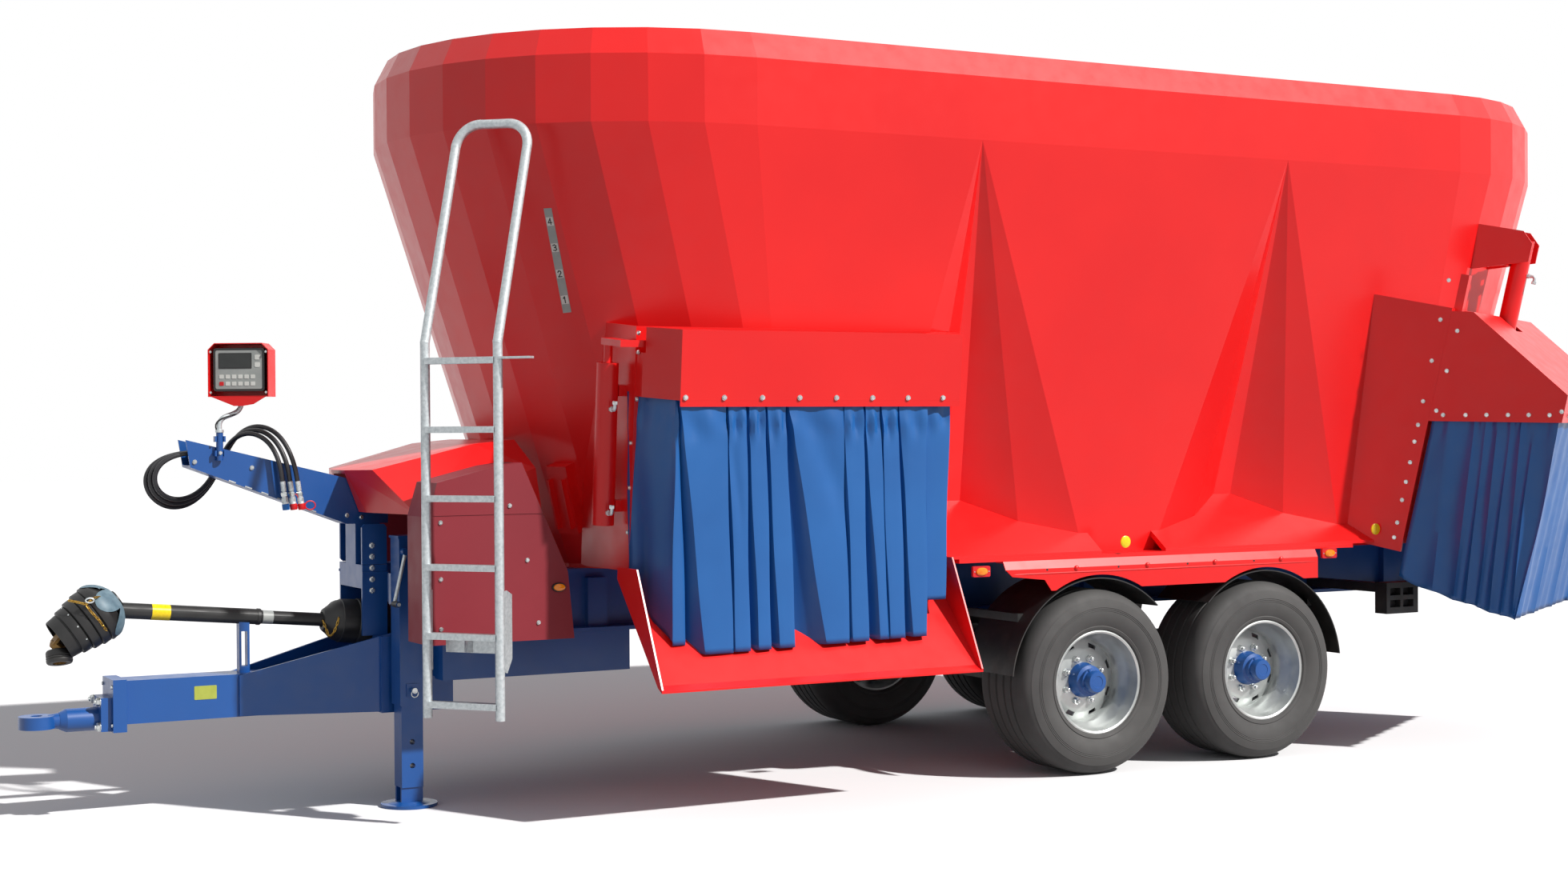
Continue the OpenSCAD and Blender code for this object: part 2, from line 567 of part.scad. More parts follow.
// Frame in the leaning plane of the hoop: X along the rungs, Y up the rails
module in_hoop() {
    up = lean_raw / lean_len;
    side = (rail_dir - up * (rail_dir * up));
    x = side / norm(side);
    n = cross(x, up);
    multmatrix([[x[0], up[0], n[0], ladder_foot[0][0]], [x[1], up[1], n[1], ladder_foot[0][1]],
        [x[2], up[2], n[2], ladder_bend_z], [0, 0, 0, 1]]) children();
}
module ladder() {
    color(zinc) {
        for (p = ladder_foot) rod([p[0], p[1], 480], [p[0], p[1], ladder_bend_z], rail_r);
        for (p = ladder_foot) translate([p[0], p[1], ladder_bend_z]) sphere(r = rail_r + 0.6, $fn = 32);
        in_hoop() {
            straight = lean_len - hoop_r;
            for (x = [0, rung_len]) rod([x, 0, 0], [x, straight + 6, 0], rail_r);
            rod([hoop_r - 6, lean_len, 0], [rung_len - hoop_r + 6, lean_len, 0], rail_r);
            for (k = [0, 1]) translate([k * rung_len, straight, 0]) rotate([0, 180 * k, 0]) translate([hoop_r, 0, 0])
                rotate([0, 0, 90]) rotate_extrude(angle = 90, $fn = 64) translate([hoop_r, 0]) circle(r = rail_r + 0.6, $fn = 48);
        }
        // treads: folded strips open below
        for (i = [0 : 5]) along_rungs(rung_z - 30 + i * rung_pitch) translate([rail_r / 2, 0, 0]) rotate([90, 0, 90])
            linear_extrude(rung_len - rail_r) polygon([[-26, 0], [-26, 28], [26, 28], [26, 0], [26 - rung_t, 0],
                [26 - rung_t, 28 - rung_t], [rung_t - 26, 28 - rung_t], [rung_t - 26, 0]]);
        // hand rest beside the top tread
        along_rungs(rung_z - 30 + 5 * rung_pitch) translate([rung_len, -20, 18]) cube([165, 40, 10]);
        // side plates that carry the ladder, and the carrier back to the side cover
        difference() {
            union() {
                for (x = [0, rung_len]) along_rungs(700) translate([x - 3, 0, 0]) rotate([90, 0, 90])
                    linear_extrude(6) polygon([[0, 0], [0, 330], [60, 340], [105, 320], [105, 40], [60, -20]]);
                along_rungs(760) translate([-3, 90, 0]) cube([rung_len + 6, 8, 60]);
            }
            translate([1400, -cover_y[1] - seat, 600]) cube([600, 600, 600]);
        }
        translate([1640, -1010, 762]) cube([60, 1010 - cover_y[1] - seat, 50]);
    }
}

// A chute's back plate with the door opening, the door's guides and the returns to the tub
module chute_frame(half_w, plate_h, guide_h) {
    difference() {
        union() {
            translate([-half_w, -plate_out - plate_t, -40]) cube([2 * half_w, plate_t, plate_h + 40]);
            for (s = [-1, 1]) translate([s * (half_w - plate_t / 2) - plate_t / 2, -plate_out, -40])
                cube([plate_t, 520, plate_h + 40]);
            for (s = [-1, 1]) translate([s * (door_w / 2 + lap + 20) - guide_w / 2, lip_y, 0])
                cube([guide_w, -plate_out - lip_y, guide_h]);
        }
        translate([-door_w / 2 - lap - door_gap, door_y - door_gap, -60])
            cube([door_w + 2 * lap + 2 * door_gap, door_t + 2 * door_gap, guide_h + 100]);
        translate([-door_w / 2, -300, sill]) cube([door_w, 900, door_h]);
    }
}
module slide_door() {
    translate([-door_w / 2 - lap, door_y, 0]) cube([door_w + 2 * lap, door_t, door_h + 60]);
}
rod_len = door_travel + 60;
gland = 30;
module barrel(z0, top) {
    z_open = top ? rod_len + 30 - gland - 1 : -1;
    translate([0, 0, z0]) difference() {
        cylinder(h = rod_len + 30, r = barrel_r + 8, $fn = 64);
        translate([0, 0, gland]) cylinder(h = rod_len + 30 - 2 * gland, r = barrel_r, $fn = 64);
        translate([0, 0, z_open]) cylinder(h = gland + 2, r = rod_r + 0.05, $fn = 64);
    }
}

front_half_w = 820;
front_hood_z = [790, 1100];
front_hood_out = 300;
front_barrel_at = [-900, 90, 200];
module front_frame() {
    color(red) difference() {
        at_front() {
            chute_frame(front_half_w, 1100, 900);
            for (z = [260, 780]) translate([front_barrel_at[0] + barrel_r + 8 + seat, front_barrel_at[1] - 20, z])
                cube([33, 40, 50]);
        }
        tub_solid(-seat, 0);
        translate([front_x - 900, -1100, 500]) cube([1800, 1000, floor_z - 500]);
    }
}
module front_hood() {
    color(red) difference() {
        at_front() translate([0, 0, front_hood_z[0]]) difference() {
            linear_extrude(front_hood_z[1] - front_hood_z[0]) polygon([[-725, -front_hood_out], [725, -front_hood_out],
                [815, lip_y - 30], [815, -plate_out - plate_t - seat], [-815, -plate_out - plate_t - seat], [-815, lip_y - 30]]);
            translate([0, 0, -1]) linear_extrude(front_hood_z[1] - front_hood_z[0] + 2) polygon([[-719, -front_hood_out + 8],
                [719, -front_hood_out + 8], [807, lip_y - 26], [807, 100], [-807, 100], [-807, lip_y - 26]]);
            // slot for the door's arm
            translate([-900, lip_y - 45, 195]) cube([180, 130, 200]);
        }
        at_front() chute_frame(front_half_w, 1100, 900);
    }
    // flaps over the top corners
    color(red) at_front() {
        for (s = [-1, 1]) translate([0, 0, front_hood_z[1] - 6]) linear_extrude(6) polygon([[s * 719, 8 - front_hood_out],
            [s * 520, 8 - front_hood_out], [s * 700, -100], [s * 800, -97], [s * 807, -104]]);
    }
}
tray_x = [2300, 3950];
module front_tray() {
    color(red) difference() {
        union() {
            translate([tray_x[0], 0, 0]) rotate([90, 0, 90]) linear_extrude(tray_x[1] - tray_x[0])
                polygon([[-1120, 1096], [-1560, 620], [-1600, 600], [-1600, 608], [-1565, 630], [-1120, 1107]]);
            for (x = [tray_x[0], tray_x[1] - 8]) translate([x, 0, 0]) rotate([90, 0, 90]) linear_extrude(8)
                polygon([[-1120, 1100], [-1560, 620], [-1600, 600], [-1600, 615], [-1350, 1120], [-1120, 1120]]);
        }
        at_front() translate([-1000, -plate_out - plate_t - seat, -500]) cube([2000, 500, 1500]);
    }
}
curtain_y = -1482.7;
module front_curtain() {
    color(blue) difference() {
        intersection() {
            translate([0, 0, 700]) linear_extrude(1230) difference() {
                polygon([[2350, -1100], [2350, -1175], [2470, curtain_y], [3885, curtain_y], [3932, -1175], [3932, -1100]]);
                polygon([[2360, -1000], [2360, -1173], [2477, curtain_y + 10], [3877, curtain_y + 10], [3922, -1173], [3922, -1000]]);
            }
            translate([2000, 0, 0]) rotate([90, 0, 90]) linear_extrude(2300)
                polygon([[-1500, 745], [-1465, 745], [-1100, 1140], [-1100, 1920], [-1500, 1920]]);
        }
        at_front() translate([-1000, -plate_out - plate_t - seat, -500]) cube([2000, 500, 2000]);
        at_front() translate([-1000, lip_y - 30, 750]) cube([2000, 500, 500]);
    }
}
module front_door() {
    color(red) at_front() {
        slide_door();
        translate([front_barrel_at[0], front_barrel_at[1], front_barrel_at[2] + gland + 10])
            cylinder(h = rod_len + 75, r = rod_r, $fn = 48);
        // arm from the rod's end over the guide to the door
        translate([front_barrel_at[0] - 25, lip_y - 30, front_barrel_at[2] + rod_len + 110])
            cube([60, front_barrel_at[1] - lip_y + 55, 30]);
        translate([front_barrel_at[0] - 25, lip_y - 30, front_barrel_at[2] + rod_len + 110])
            cube([-front_barrel_at[0] + 25 - door_w / 2 + 60, 24, 30]);
        translate([-door_w / 2 - 20, lip_y - 30, door_h + 20]) cube([60, 24, front_barrel_at[2] + rod_len + 120 - door_h]);
        translate([-door_w / 2 + 10, lip_y - 10, door_h + 20]) cube([30, door_y - lip_y + 12, 30]);
    }
}

rear_half_w = 725;
rear_out = 695;
rear_back = -plate_out - plate_t - seat;
rear_hood_profile = [[rear_back, 672], [rear_back, 1265], [-140, 1279], [-rear_out, 945], [-rear_out, 800]];
rear_barrel_at = [0, -167, 985];
rear_arm_z = 230;
module rear_frame() {
    color(red) difference() {
        at_rear() {
            chute_frame(rear_half_w, 1280, 1465);
            for (s = [-1, 1]) translate([s * 90 - 6, 0, 0]) rotate([90, 0, 90]) linear_extrude(12)
                polygon([[100, 1500], [rear_barrel_at[1] - 60, 1600], [rear_barrel_at[1] - 60, 1700],
                    [rear_barrel_at[1], 1760], [100, 1760]]);
            for (z = [1560, 1650]) translate([-90, rear_barrel_at[1] + barrel_r + 8 + seat, z]) cube([180, 14, 40]);
        }
        tub_solid(-seat, 0);
        translate([lobe_x[2], -2200, 500]) cube([2000, 2200, floor_z + seat - 500]);
    }
}
module rear_hood() {
    w = 2 * rear_half_w;
    color(red) at_rear() difference() {
        translate([-rear_half_w, 0, 0]) rotate([90, 0, 90]) linear_extrude(w) polygon(rear_hood_profile);
        translate([-rear_half_w + 6, 0, 0]) rotate([90, 0, 90]) linear_extrude(w - 12)
            polygon([[0, 500], [0, 1258], [-138, 1272], [-rear_out + 6, 941], [-rear_out + 6, 500]]);
        translate([-80, rear_barrel_at[1] - 75, 1100]) cube([160, 300, 400]);
        translate([-665, lip_y - 8, 600]) cube([1330, 200, 800]);
    }
}
module rear_curtain() {
    // closed U of sheet hung inside the hood
    profile = [[-40, -170], [-400, -235], [-rear_out + 6 + seat, -255], [-rear_out + 6 + seat, 900], [-140, 760], [-100, 690], [-70, 600]];
    half = rear_half_w - 6 - seat;
    color(blue) at_rear() difference() {
        translate([-half, 0, 0]) rotate([90, 0, 90]) linear_extrude(2 * half) polygon(profile);
        translate([-half + 10, 0, 0]) rotate([90, 0, 90]) linear_extrude(2 * half - 20)
            polygon([[100, -500], [-rear_out + 16 + seat, -500], [-rear_out + 16 + seat, 1200], [100, 1200]]);
    }
}
module rear_door() {
    color(red) at_rear() {
        slide_door();
        translate([rear_barrel_at[0], rear_barrel_at[1], rear_arm_z + 10])
            cylinder(h = rear_barrel_at[2] + 30 - rear_arm_z, r = rod_r, $fn = 48);
        translate([-40, rear_barrel_at[1] - 30, rear_arm_z]) cube([80, door_y - rear_barrel_at[1] + 30.1, 70]);
    }
}
module door_barrels() {
    color(red) {
        at_front() translate([front_barrel_at[0], front_barrel_at[1], 0]) barrel(front_barrel_at[2], true);
        at_rear() translate([rear_barrel_at[0], rear_barrel_at[1], 0]) barrel(rear_barrel_at[2], false);
    }
}

// Running gear
wheel_y = half_track_out - tyre_w / 2;
spindle_r = 45;
disc_out = 60; // from the wheel's middle plane out to its disc
disc_t = 14;
module axles() {
    color(black) for (x = wheel_x) {
        translate([x - axle_side / 2, -740, tyre_r - axle_side / 2]) cube([axle_side, 1480, axle_side]);
        for (s = [-1, 1]) scale([1, s, 1]) translate([x, 0, tyre_r]) rotate([-90, 0, 0]) {
            translate([0, 0, 739]) cylinder(h = wheel_y + 120 - 739, r = spindle_r, $fn = 64);
            translate([0, 0, 760]) cylinder(h = 60, r = 190, $fn = 64);
        }
        // brake chambers on their brackets
        for (s = [-1, 1]) {
            translate([x + axle_side / 2 - 0.1, s * 330 - 30, tyre_r - 40]) cube([60, 60, 12]);
            translate([x + axle_side / 2 + 58, s * 330, tyre_r - 30]) rotate([0, -8, 0]) cylinder(h = 110, r = 62, $fn = 48);
        }
    }
}
leaf_t = 11;
leaf_count = 7;
module suspension() {
    color(black) for (s = [-1, 1]) translate([0, s * frame_y, 0]) {
        for (x = wheel_x) {
            // spring pack over the axle: each leaf shorter than the one above
            for (i = [0 : leaf_count - 1]) translate([x - 450 + 48 * i, -38, tyre_r + axle_side / 2 + seat + leaf_t * (leaf_count - 1 - i)])
                cube([900 - 96 * i, 76, leaf_t + (i < leaf_count - 1 ? 0.1 : 0)]);
            for (k = [-1, 1]) translate([x + k * 50 - 12, -50, tyre_r + axle_side / 2 + seat]) cube([24, 100, leaf_t * leaf_count + 14]);
        }
        for (x = [wheel_x[0] - 440, (wheel_x[0] + wheel_x[1]) / 2, wheel_x[1] + 440]) translate([x, 40, 0]) rotate([90, 0, 0])
            linear_extrude(80) polygon([[-60, 560], [60, 560], [110, frame_low - seat], [-110, frame_low - seat]]);
    }
}
guard_r = tyre_r + 60;
module mudguards() {
    color(black) for (s = [-1, 1]) {
        for (i = [0, 1]) translate([wheel_x[i], s * (wheel_y - 10) - tyre_w / 2 + 10, tyre_r]) rotate([-90, 0, 0])
            linear_extrude(tyre_w - 20) difference() {
                circle(r = guard_r, $fn = 96);
                circle(r = guard_r - 6, $fn = 96);
                rotate(i == 0 ? 45 : -45) translate([i == 0 ? 0 : -700, -700]) square([700, 1400]);
                translate([-600, -60]) square([1200, 660]);
            }
        for (i = [0, 1]) translate([wheel_x[i] + (i == 0 ? -1 : 1) * 400 - 20, s > 0 ? frame_y + frame_w / 2 + seat : -wheel_y - 100, frame_low - 5])
            cube([40, wheel_y + 100 - frame_y - frame_w / 2 - seat, 40]);
    }
}
module lamps() {
    color("orange") for (x = [skirt_x[0] - 100 - seat, skirt_x[1] + seat]) for (s = [-1, 1])
        translate([x, s * (skirt_y - 15) - 15, 1000]) cube([100, 30, 50]);
}
module drive_line() {
    color(black) {
        for (x = auger_x) difference() {
            translate([x, 0, floor_z - floor_t - 300]) cylinder(h = 300 - seat, r = 190, $fn = 64);
            translate([x, 0, floor_z - floor_t - 40]) cylinder(h = 80, r = neck_r + 5, $fn = 64);
        }
        translate([1650 + seat, 0, pto_z]) rotate([0, 90, 0]) cylinder(h = auger_x[1] - 1650, r = shaft_r, $fn = 48);
    }
}
// Frame on the front end's flank, turned from the side of the tub; -Y points out of the tub
module at_flank(turn) {
    lean = atan((top_r - lobe_r + (end_offset - lobe_pitch) * sin(turn)) / (crease_z - floor_z));
    translate([lobe_x[0], 0, floor_z]) rotate([0, 0, -turn]) translate([0, -lobe_r, 0]) rotate([lean, 0, 0]) children();
}
knife_turn = 63;
module knife_boxes() {
    color(red) difference() {
        at_flank(knife_turn) {
            translate([-60, -55, 170]) cube([120, 155, 330]);
            translate([-45, -85, 200]) cube([12, 40, 240]);
            translate([33, -85, 200]) cube([12, 40, 240]);
            translate([-75, -20, 150]) cube([150, 120, 20.1]);
        }
        tub_solid(-seat, 0);
    }
}
module lamp_carrier() {
    color(black) {
        difference() {
            translate([6900, -1130, 700]) cube([230, 90, 170]);
            for (z = [735, 800]) for (x = [6925, 7020]) translate([x, -1131, z]) cube([75, 40, 40]);
        }
        translate([6950, -1040.1, 810]) cube([60, 1040.1 - frame_y + frame_w / 2 - frame_web - seat, 50]);
    }
}

// Augers: a column with a flight that narrows upwards
flight_turns = 1.9;
flight_pitch = 640;
flight_steps = 44;
flight_top_r = 430;
knife_count = 6;
function flight_r(f) = auger_r + (flight_top_r - auger_r) * pow(f, 0.8);
module flight() {
    n = flight_steps;
    polyhedron(
        points = [for (i = [0 : n]) let (a = -360 * flight_turns * i / n, z = flight_pitch * flight_turns * i / n)
            each [[(auger_tube_r - 20) * cos(a), (auger_tube_r - 20) * sin(a), z],
                [flight_r(i / n) * cos(a), flight_r(i / n) * sin(a), z],
                [flight_r(i / n) * cos(a), flight_r(i / n) * sin(a), z + flight_t],
                [(auger_tube_r - 20) * cos(a), (auger_tube_r - 20) * sin(a), z + flight_t]]],
        faces = concat([[0, 2, 3], [0, 1, 2]],
            [for (i = [0 : n - 1]) for (k = [0 : 3]) let (a = 4 * i + k, b = 4 * i + (k + 1) % 4)
                each [[a, b + 4, b], [a, a + 4, b + 4]]],
            [[4 * n, 4 * n + 2, 4 * n + 1], [4 * n, 4 * n + 3, 4 * n + 2]]));
}
module auger(x) {
    color(zinc) translate([x, 0, floor_z]) {
        translate([0, 0, -floor_t]) cylinder(h = floor_t + 60, r = neck_r - seat, $fn = 96);
        translate([0, 0, 20]) cylinder(h = auger_h, r = auger_tube_r, $fn = 64);
        translate([0, 0, 30]) flight();
        for (i = [0 : knife_count - 1]) let (f = 0.12 + 0.8 * i / knife_count, a = -360 * flight_turns * f)
            translate([0, 0, 30 + flight_pitch * flight_turns * f]) rotate([0, 0, a]) translate([flight_r(f) - 150, 0, flight_t - 0.1])
                linear_extrude(8) polygon([[0, -60], [110, -95], [185, -40], [150, 60], [0, 60]]);
    }
}

module tyre(i, s) {
    color(black) translate([wheel_x[i], s * wheel_y, tyre_r]) rotate([90, 0, 0]) rotate_extrude($fn = 96)
        polygon([[rim_r - 10, -tyre_w / 2 + 40], [rim_r + 12, -tyre_w / 2 + 22], [rim_r + 80, -tyre_w / 2],
            [tyre_r - 60, -tyre_w / 2 + 8], [tyre_r - 14, -tyre_w / 2 + 40], [tyre_r, -tyre_w / 2 + 90],
            [tyre_r, tyre_w / 2 - 90], [tyre_r - 14, tyre_w / 2 - 40],
            [tyre_r - 60, tyre_w / 2 - 8], [rim_r + 80, tyre_w / 2], [rim_r + 12, tyre_w / 2 - 22],
            [rim_r - 10, tyre_w / 2 - 40]]);
}
module wheel(i, s) {
    rim_half = tyre_w / 2 - 30;
    color(zinc) translate([wheel_x[i], s * wheel_y, tyre_r]) scale([1, s, 1]) rotate([-90, 0, 0]) difference() {
        rotate_extrude($fn = 96) polygon([[rim_r - 10 - seat, -rim_half], [rim_r - 10 - seat, rim_half],
            [rim_r - 22, rim_half], [rim_r - 40, disc_out + disc_t], [135, disc_out + disc_t], [135, 150], [90, 150], [90, 190],
            [0, 190], [0, 135], [spindle_r, 135], [spindle_r, -80], [120, -80], [135, disc_out], [rim_r - 40, disc_out], [rim_r - 30, -rim_half]]);
        translate([0, 0, -200]) cylinder(h = 330, r = spindle_r + 0.05, $fn = 64);
    }
}
module tyre_front_left() { tyre(0, -1); }
module tyre_front_right() { tyre(0, 1); }
module tyre_rear_left() { tyre(1, -1); }
module tyre_rear_right() { tyre(1, 1); }
module wheel_front_left() { wheel(0, -1); }
module wheel_front_right() { wheel(0, 1); }
module wheel_rear_left() { wheel(1, -1); }
module wheel_rear_right() { wheel(1, 1); }
module auger_front() { auger(auger_x[0]); }
module auger_rear() { auger(auger_x[1]); }

module placed() { translate([0, 0, -eye_z]) children(); }

placed() tub();
placed() tub_floor();
placed() tub_ring();
placed() skirts();
placed() main_frame();
placed() drawbar();
placed() tow_eye();
placed() jack_sleeve();
placed() jack_leg();
placed() drive_hood();
placed() side_covers();
placed() pto_shaft();
placed() pto_stand();
placed() hose_arm();
placed() hose_1();
placed() hose_2();
placed() hose_3();
placed() couplers();
placed() terminal();
placed() terminal_post();
placed() ladder();
placed() front_frame();
placed() front_hood();
placed() front_tray();
placed() front_curtain();
placed() rear_frame();
placed() rear_hood();
placed() rear_curtain();
placed() door_barrels();
placed() axles();
placed() suspension();
placed() mudguards();
placed() lamps();
placed() drive_line();
placed() knife_boxes();
placed() lamp_carrier();
placed() front_door();
placed() rear_door();
placed() auger_front();
placed() auger_rear();
placed() tyre_front_left();
placed() tyre_front_right();
placed() tyre_rear_left();
placed() tyre_rear_right();
placed() wheel_front_left();
placed() wheel_front_right();
placed() wheel_rear_left();
placed() wheel_rear_right();
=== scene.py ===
import math
import random

import bmesh
import bpy
from mathutils import Matrix, Vector
from mathutils.bvhtree import BVHTree


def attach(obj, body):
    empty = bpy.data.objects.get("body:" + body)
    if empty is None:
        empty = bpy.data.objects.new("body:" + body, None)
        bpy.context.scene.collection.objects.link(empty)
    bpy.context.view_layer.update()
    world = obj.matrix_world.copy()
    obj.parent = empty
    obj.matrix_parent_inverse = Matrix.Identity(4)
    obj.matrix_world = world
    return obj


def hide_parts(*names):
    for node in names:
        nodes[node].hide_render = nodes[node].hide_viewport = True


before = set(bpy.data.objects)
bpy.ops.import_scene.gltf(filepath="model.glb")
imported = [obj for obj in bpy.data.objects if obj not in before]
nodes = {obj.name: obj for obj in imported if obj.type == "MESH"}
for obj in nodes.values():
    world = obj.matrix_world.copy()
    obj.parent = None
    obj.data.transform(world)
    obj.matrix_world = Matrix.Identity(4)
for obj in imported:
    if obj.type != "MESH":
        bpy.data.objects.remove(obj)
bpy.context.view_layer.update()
eyeHeight = 0.455  # the towing eye's centre above the ground, where the row's origin is
random.seed(7)


def at(x, y, z):
    # a point given by its height above the ground
    return Vector((x, y, z - eyeHeight))


# ---- camera ----
camera = {"place": (-1.824, -10.224, 1.742), "yaw": 28.377, "pitch": -0.5765, "roll": -0.370,
          "lens": 51.23, "shiftX": 0.0088, "shiftY": 0.0060}


def makeCamera(c):
    data = bpy.data.cameras.new("camera")
    data.lens, data.shift_x, data.shift_y = c["lens"], c["shiftX"], c["shiftY"]
    data.clip_end = 200
    obj = bpy.data.objects.new("camera", data)
    bpy.context.collection.objects.link(obj)
    yaw, pitch, roll = (math.radians(c[k]) for k in ("yaw", "pitch", "roll"))
    ahead = Vector((math.sin(yaw) * math.cos(pitch), math.cos(yaw) * math.cos(pitch), math.sin(pitch)))
    side = Vector((math.cos(yaw), -math.sin(yaw), 0))
    up = side.cross(ahead)
    right = math.cos(roll) * side + math.sin(roll) * up
    top = -math.sin(roll) * side + math.cos(roll) * up
    turn = Matrix((right, top, -ahead)).transposed()
    obj.matrix_world = Matrix.Translation(at(*c["place"])) @ turn.to_4x4()
    bpy.context.scene.camera = obj


makeCamera(camera)
print("camera ready")


# ---- materials ----
def hexLinear(code):
    parts = [int(code[i:i + 2], 16) / 255 for i in (0, 2, 4)]
    return [c / 12.92 if c <= 0.04045 else ((c + 0.055) / 1.055) ** 2.4 for c in parts] + [1.0]


def addNode(tree, kind, settings=None, links=None):
    node = tree.nodes.new(kind)
    for key, value in (settings or {}).items():
        if key in node.inputs:
            node.inputs[key].default_value = value
        else:
            setattr(node, key, value)
    for key, source in (links or {}).items():
        tree.links.new(source, node.inputs[key])
    return node


def noise(tree, place, sizeMm, detail=3.0, stretch=None):
    # soft blotches about sizeMm across
    if stretch:
        place = addNode(tree, "ShaderNodeMapping", {"Scale": stretch}, {"Vector": place}).outputs["Vector"]
    return addNode(tree, "ShaderNodeTexNoise", {"Scale": 1000 / sizeMm, "Detail": detail},
                   {"Vector": place}).outputs["Fac"]


def spread(tree, source, low, high, fromLow=0.3, fromHigh=0.7):
    return addNode(tree, "ShaderNodeMapRange", {"From Min": fromLow, "From Max": fromHigh, "To Min": low,
                                                "To Max": high}, {"Value": source}).outputs["Result"]


def ramp(tree, source, stops):
    node = addNode(tree, "ShaderNodeValToRGB", links={"Fac": source})
    while len(node.color_ramp.elements) < len(stops):
        node.color_ramp.elements.new(0.5)
    for element, (where, code) in zip(node.color_ramp.elements, stops):
        element.position, element.color = where, hexLinear(code)
    return node.outputs["Color"]


def finish(look):
    # one finish: two shades in soft blotches, roughness that wanders, and a fine surface
    mat = bpy.data.materials.new(look["name"])
    mat.use_nodes = True
    tree = mat.node_tree
    tree.nodes.clear()
    shader = addNode(tree, "ShaderNodeBsdfPrincipled", look.get("shader", {}))
    addNode(tree, "ShaderNodeOutputMaterial", links={"Surface": shader.outputs["BSDF"]})
    place = addNode(tree, "ShaderNodeTexCoord").outputs["Object"]
    blotch = noise(tree, place, look.get("blotchMm", 300), 4, look.get("stretch"))
    colour = ramp(tree, blotch, [(0.32, look["deep"]), (0.68, look["pale"])])
    dust = look.get("dust")
    if dust:
        height = addNode(tree, "ShaderNodeSeparateXYZ", links={"Vector": place}).outputs["Z"]
        low = spread(tree, height, dust["much"], 0.0, dust["from"] - eyeHeight, dust["to"] - eyeHeight)
        fleck = spread(tree, noise(tree, place, dust["sizeMm"], 6), 0.0, 1.0, 0.42, 0.62)
        much = addNode(tree, "ShaderNodeMath", {"operation": "MULTIPLY"}).outputs["Value"]
        tree.links.new(low, much.node.inputs[0])
        tree.links.new(fleck, much.node.inputs[1])
        mix = addNode(tree, "ShaderNodeMix", {"data_type": "RGBA"})
        mix.inputs[7].default_value = hexLinear(dust["colour"])
        tree.links.new(much, mix.inputs[0])
        tree.links.new(colour, mix.inputs[6])
        colour = mix.outputs[2]
    tree.links.new(colour, shader.inputs["Base Color"])
    rough = look["rough"]
    tree.links.new(spread(tree, noise(tree, place, look.get("roughMm", 80), 5), rough[0], rough[1]),
                   shader.inputs["Roughness"])
    grain = addNode(tree, "ShaderNodeBump", {"Distance": look["grain"][1] / 1000, "Strength": look["grain"][2]},
                    {"Height": noise(tree, place, look["grain"][0], 2, look.get("stretch"))})
    tree.links.new(grain.outputs["Normal"], shader.inputs["Normal"])
    return mat


